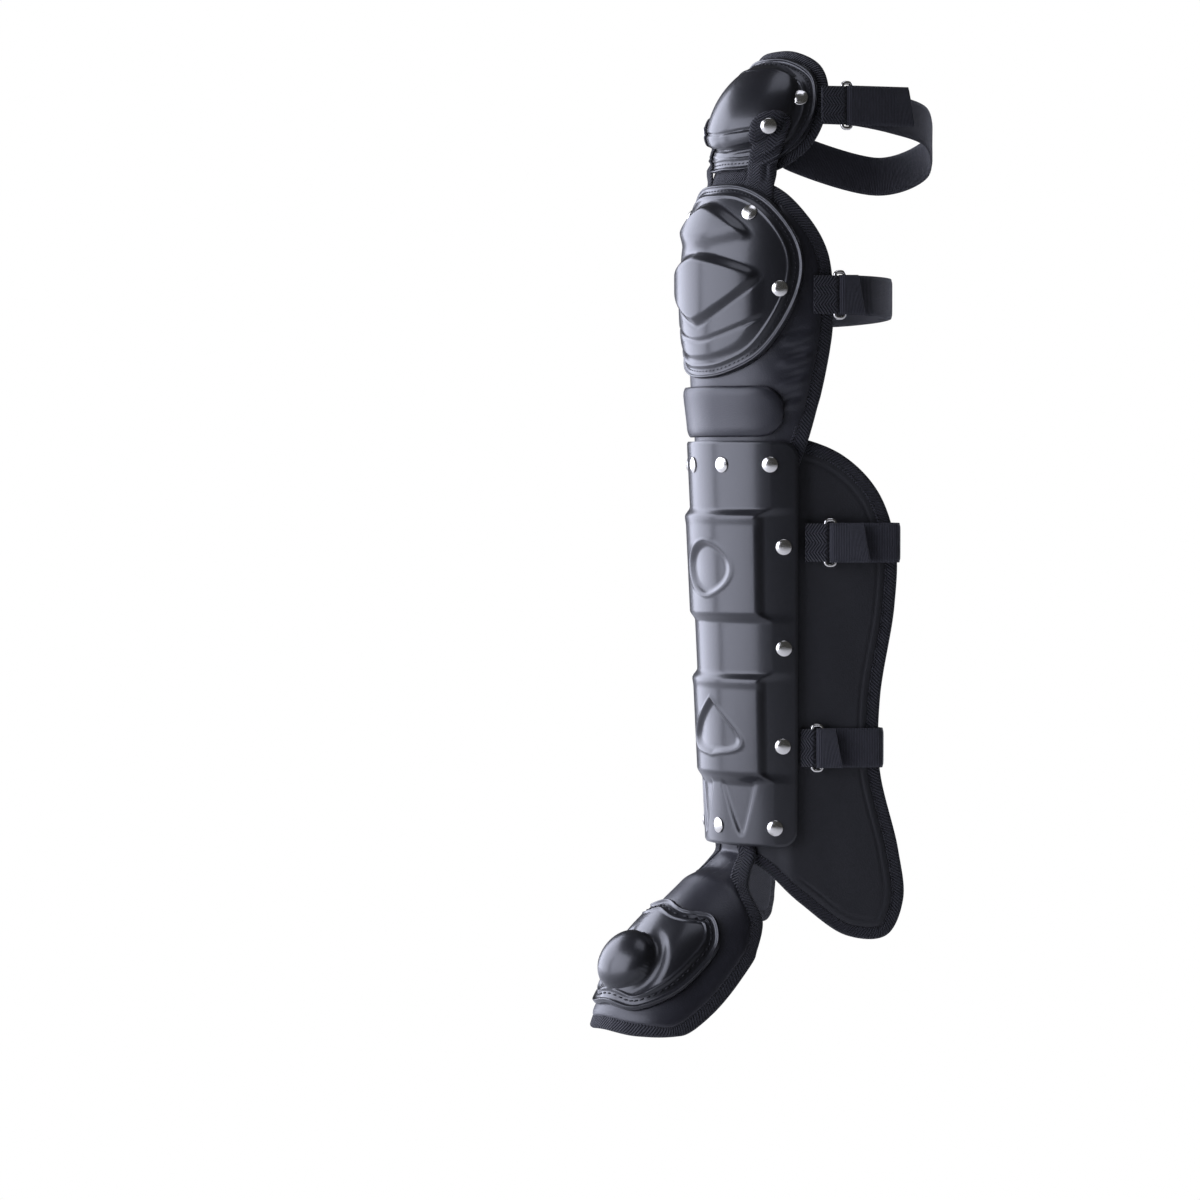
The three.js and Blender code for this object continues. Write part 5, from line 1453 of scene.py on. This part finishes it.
class LEGGUARD_OT_stage(PieceOperator, bpy.types.Operator):
    """Add the pale floor, the soft lights and the camera"""

    bl_idname = "leg_guard.add_stage"
    bl_label = "Stage"

    def execute(self, context):
        self.prepare(context)
        self.add_floor()
        self.add_lights(context)
        self.add_camera(context)
        return {"FINISHED"}

    def add_floor(self):
        floor_mesh = bmesh.new()
        bmesh.ops.create_grid(floor_mesh, x_segments=2, y_segments=2, size=14)
        bmesh.ops.translate(
            floor_mesh, verts=floor_mesh.verts[:], vec=(0, 0, -self.sizes.floor_drop))
        material, tree, surface = new_material("pale_floor", (0.9, 0.9, 0.9), 0.9)
        haze = add_node(tree, "ShaderNodeTexNoise", {
            "Vector": coordinates(tree, "Object"), "Scale": 1.5})
        vary_roughness(tree, surface, haze.outputs[0], 0.85, 0.95)
        glow = add_node(tree, "ShaderNodeEmission", {"Color": (1, 1, 1, 1), "Strength": 1.0})
        seen = add_node(tree, "ShaderNodeLightPath")
        both = add_node(tree, "ShaderNodeMixShader", {
            0: seen.outputs["Is Camera Ray"], 1: surface.outputs[0], 2: glow.outputs[0]})
        tree.links.new(both.outputs[0], tree.nodes["Material Output"].inputs["Surface"])
        add_object("pale_floor", mesh_of(floor_mesh, "pale_floor"), material)

    def add_lights(self, context):
        world = bpy.data.worlds.new("studio")
        world.use_nodes = True
        tree = world.node_tree
        seen = add_node(tree, "ShaderNodeLightPath")
        strength = add_node(tree, "ShaderNodeMapRange", {
            "Value": seen.outputs["Is Camera Ray"], "To Min": 0.05, "To Max": 1.0})
        tree.nodes["Background"].inputs["Color"].default_value = (1, 1, 1, 1)
        tree.links.new(strength.outputs[0], tree.nodes["Background"].inputs["Strength"])
        context.scene.world = world
        context.scene.view_settings.view_transform = "Standard"
        # Name, position, aim, width, height and watts of each soft box.
        boxes = [
            ("key_box", (-0.5, -2.4, 0.45), (0, 0.02, -0.02), 2.4, 2.4, 84),
            ("left_box", (-2.4, -1.0, 0.5), (0, 0.02, -0.02), 2.4, 2.4, 84),
            ("top_box", (0.2, -0.2, 2.4), (0, 0.05, 0), 1.4, 1.4, 10),
            ("back_box", (-0.6, 2.3, 0.6), (0, 0.05, -0.05), 1.6, 2.0, 26),
        ]
        for name, place, aim, width, height, watts in boxes:
            lamp = bpy.data.lights.new(name, "AREA")
            lamp.shape = "RECTANGLE"
            lamp.size, lamp.size_y, lamp.energy = width, height, watts
            lamp.color = (0.8, 0.83, 1.0)
            holder = bpy.data.objects.new(name, lamp)
            holder.location = place
            direction = Vector(aim) - Vector(place)
            holder.rotation_euler = direction.to_track_quat("-Z", "Y").to_euler()
            context.scene.collection.objects.link(holder)

    def add_camera(self, context):
        azimuth = math.radians(58.8)
        side_shift, pixel, horizon = -0.1355, 0.695 * MM, 472
        sensor, picture = 36, 1200
        towards = Vector((math.sin(azimuth), -math.cos(azimuth), 0))
        right = Vector((math.cos(azimuth), math.sin(azimuth), 0))
        distance = self.sizes.camera_distance
        camera = bpy.data.cameras.new("photo_view")
        camera.sensor_width = sensor
        camera.lens = sensor * distance / (picture * pixel)
        camera.clip_end = 100
        holder = bpy.data.objects.new("photo_view", camera)
        axis = Vector((0, SEAT_DEPTH * MM, 0))
        holder.location = axis + towards * distance + right * side_shift
        pitch = math.atan((picture / 2 - horizon) * pixel / distance)
        holder.rotation_euler = (math.pi / 2 - pitch, 0, azimuth)
        context.scene.collection.objects.link(holder)
        context.scene.camera = holder


class LEGGUARD_PT_sidebar(bpy.types.Panel):
    """Sidebar panel that lists the leg guard's pieces"""

    bl_label = "Catcher Leg Guard"
    bl_space_type = "VIEW_3D"
    bl_region_type = "UI"
    bl_category = "Leg Guard"

    def draw(self, context):
        layout = self.layout
        for group in (context.scene.leg_guard_sizes, context.scene.leg_guard_finish):
            box = layout.box()
            for label in group.bl_rna.properties.keys():
                if label not in ("rna_type", "name"):
                    box.prop(group, label)
        for operator in OPERATORS:
            layout.operator(operator.bl_idname)


OPERATORS = (
    LEGGUARD_OT_stage, LEGGUARD_OT_thigh, LEGGUARD_OT_knee, LEGGUARD_OT_shin, LEGGUARD_OT_foot,
    LEGGUARD_OT_links, LEGGUARD_OT_straps,
)
CLASSES = (LegGuardSizes, LegGuardFinish, *OPERATORS, LEGGUARD_PT_sidebar)


def register():
    for made in CLASSES:
        bpy.utils.register_class(made)
    bpy.types.Scene.leg_guard_sizes = bpy.props.PointerProperty(type=LegGuardSizes)
    bpy.types.Scene.leg_guard_finish = bpy.props.PointerProperty(type=LegGuardFinish)


def unregister():
    del bpy.types.Scene.leg_guard_finish
    del bpy.types.Scene.leg_guard_sizes
    for made in reversed(CLASSES):
        bpy.utils.unregister_class(made)


def main():
    register()
    bpy.ops.leg_guard.add_stage()
    bpy.ops.leg_guard.add_thigh()
    bpy.ops.leg_guard.add_knee()
    bpy.ops.leg_guard.add_shin()
    bpy.ops.leg_guard.add_foot()
    bpy.ops.leg_guard.add_links()
    bpy.ops.leg_guard.add_straps()


if __name__ == "__main__":
    main()
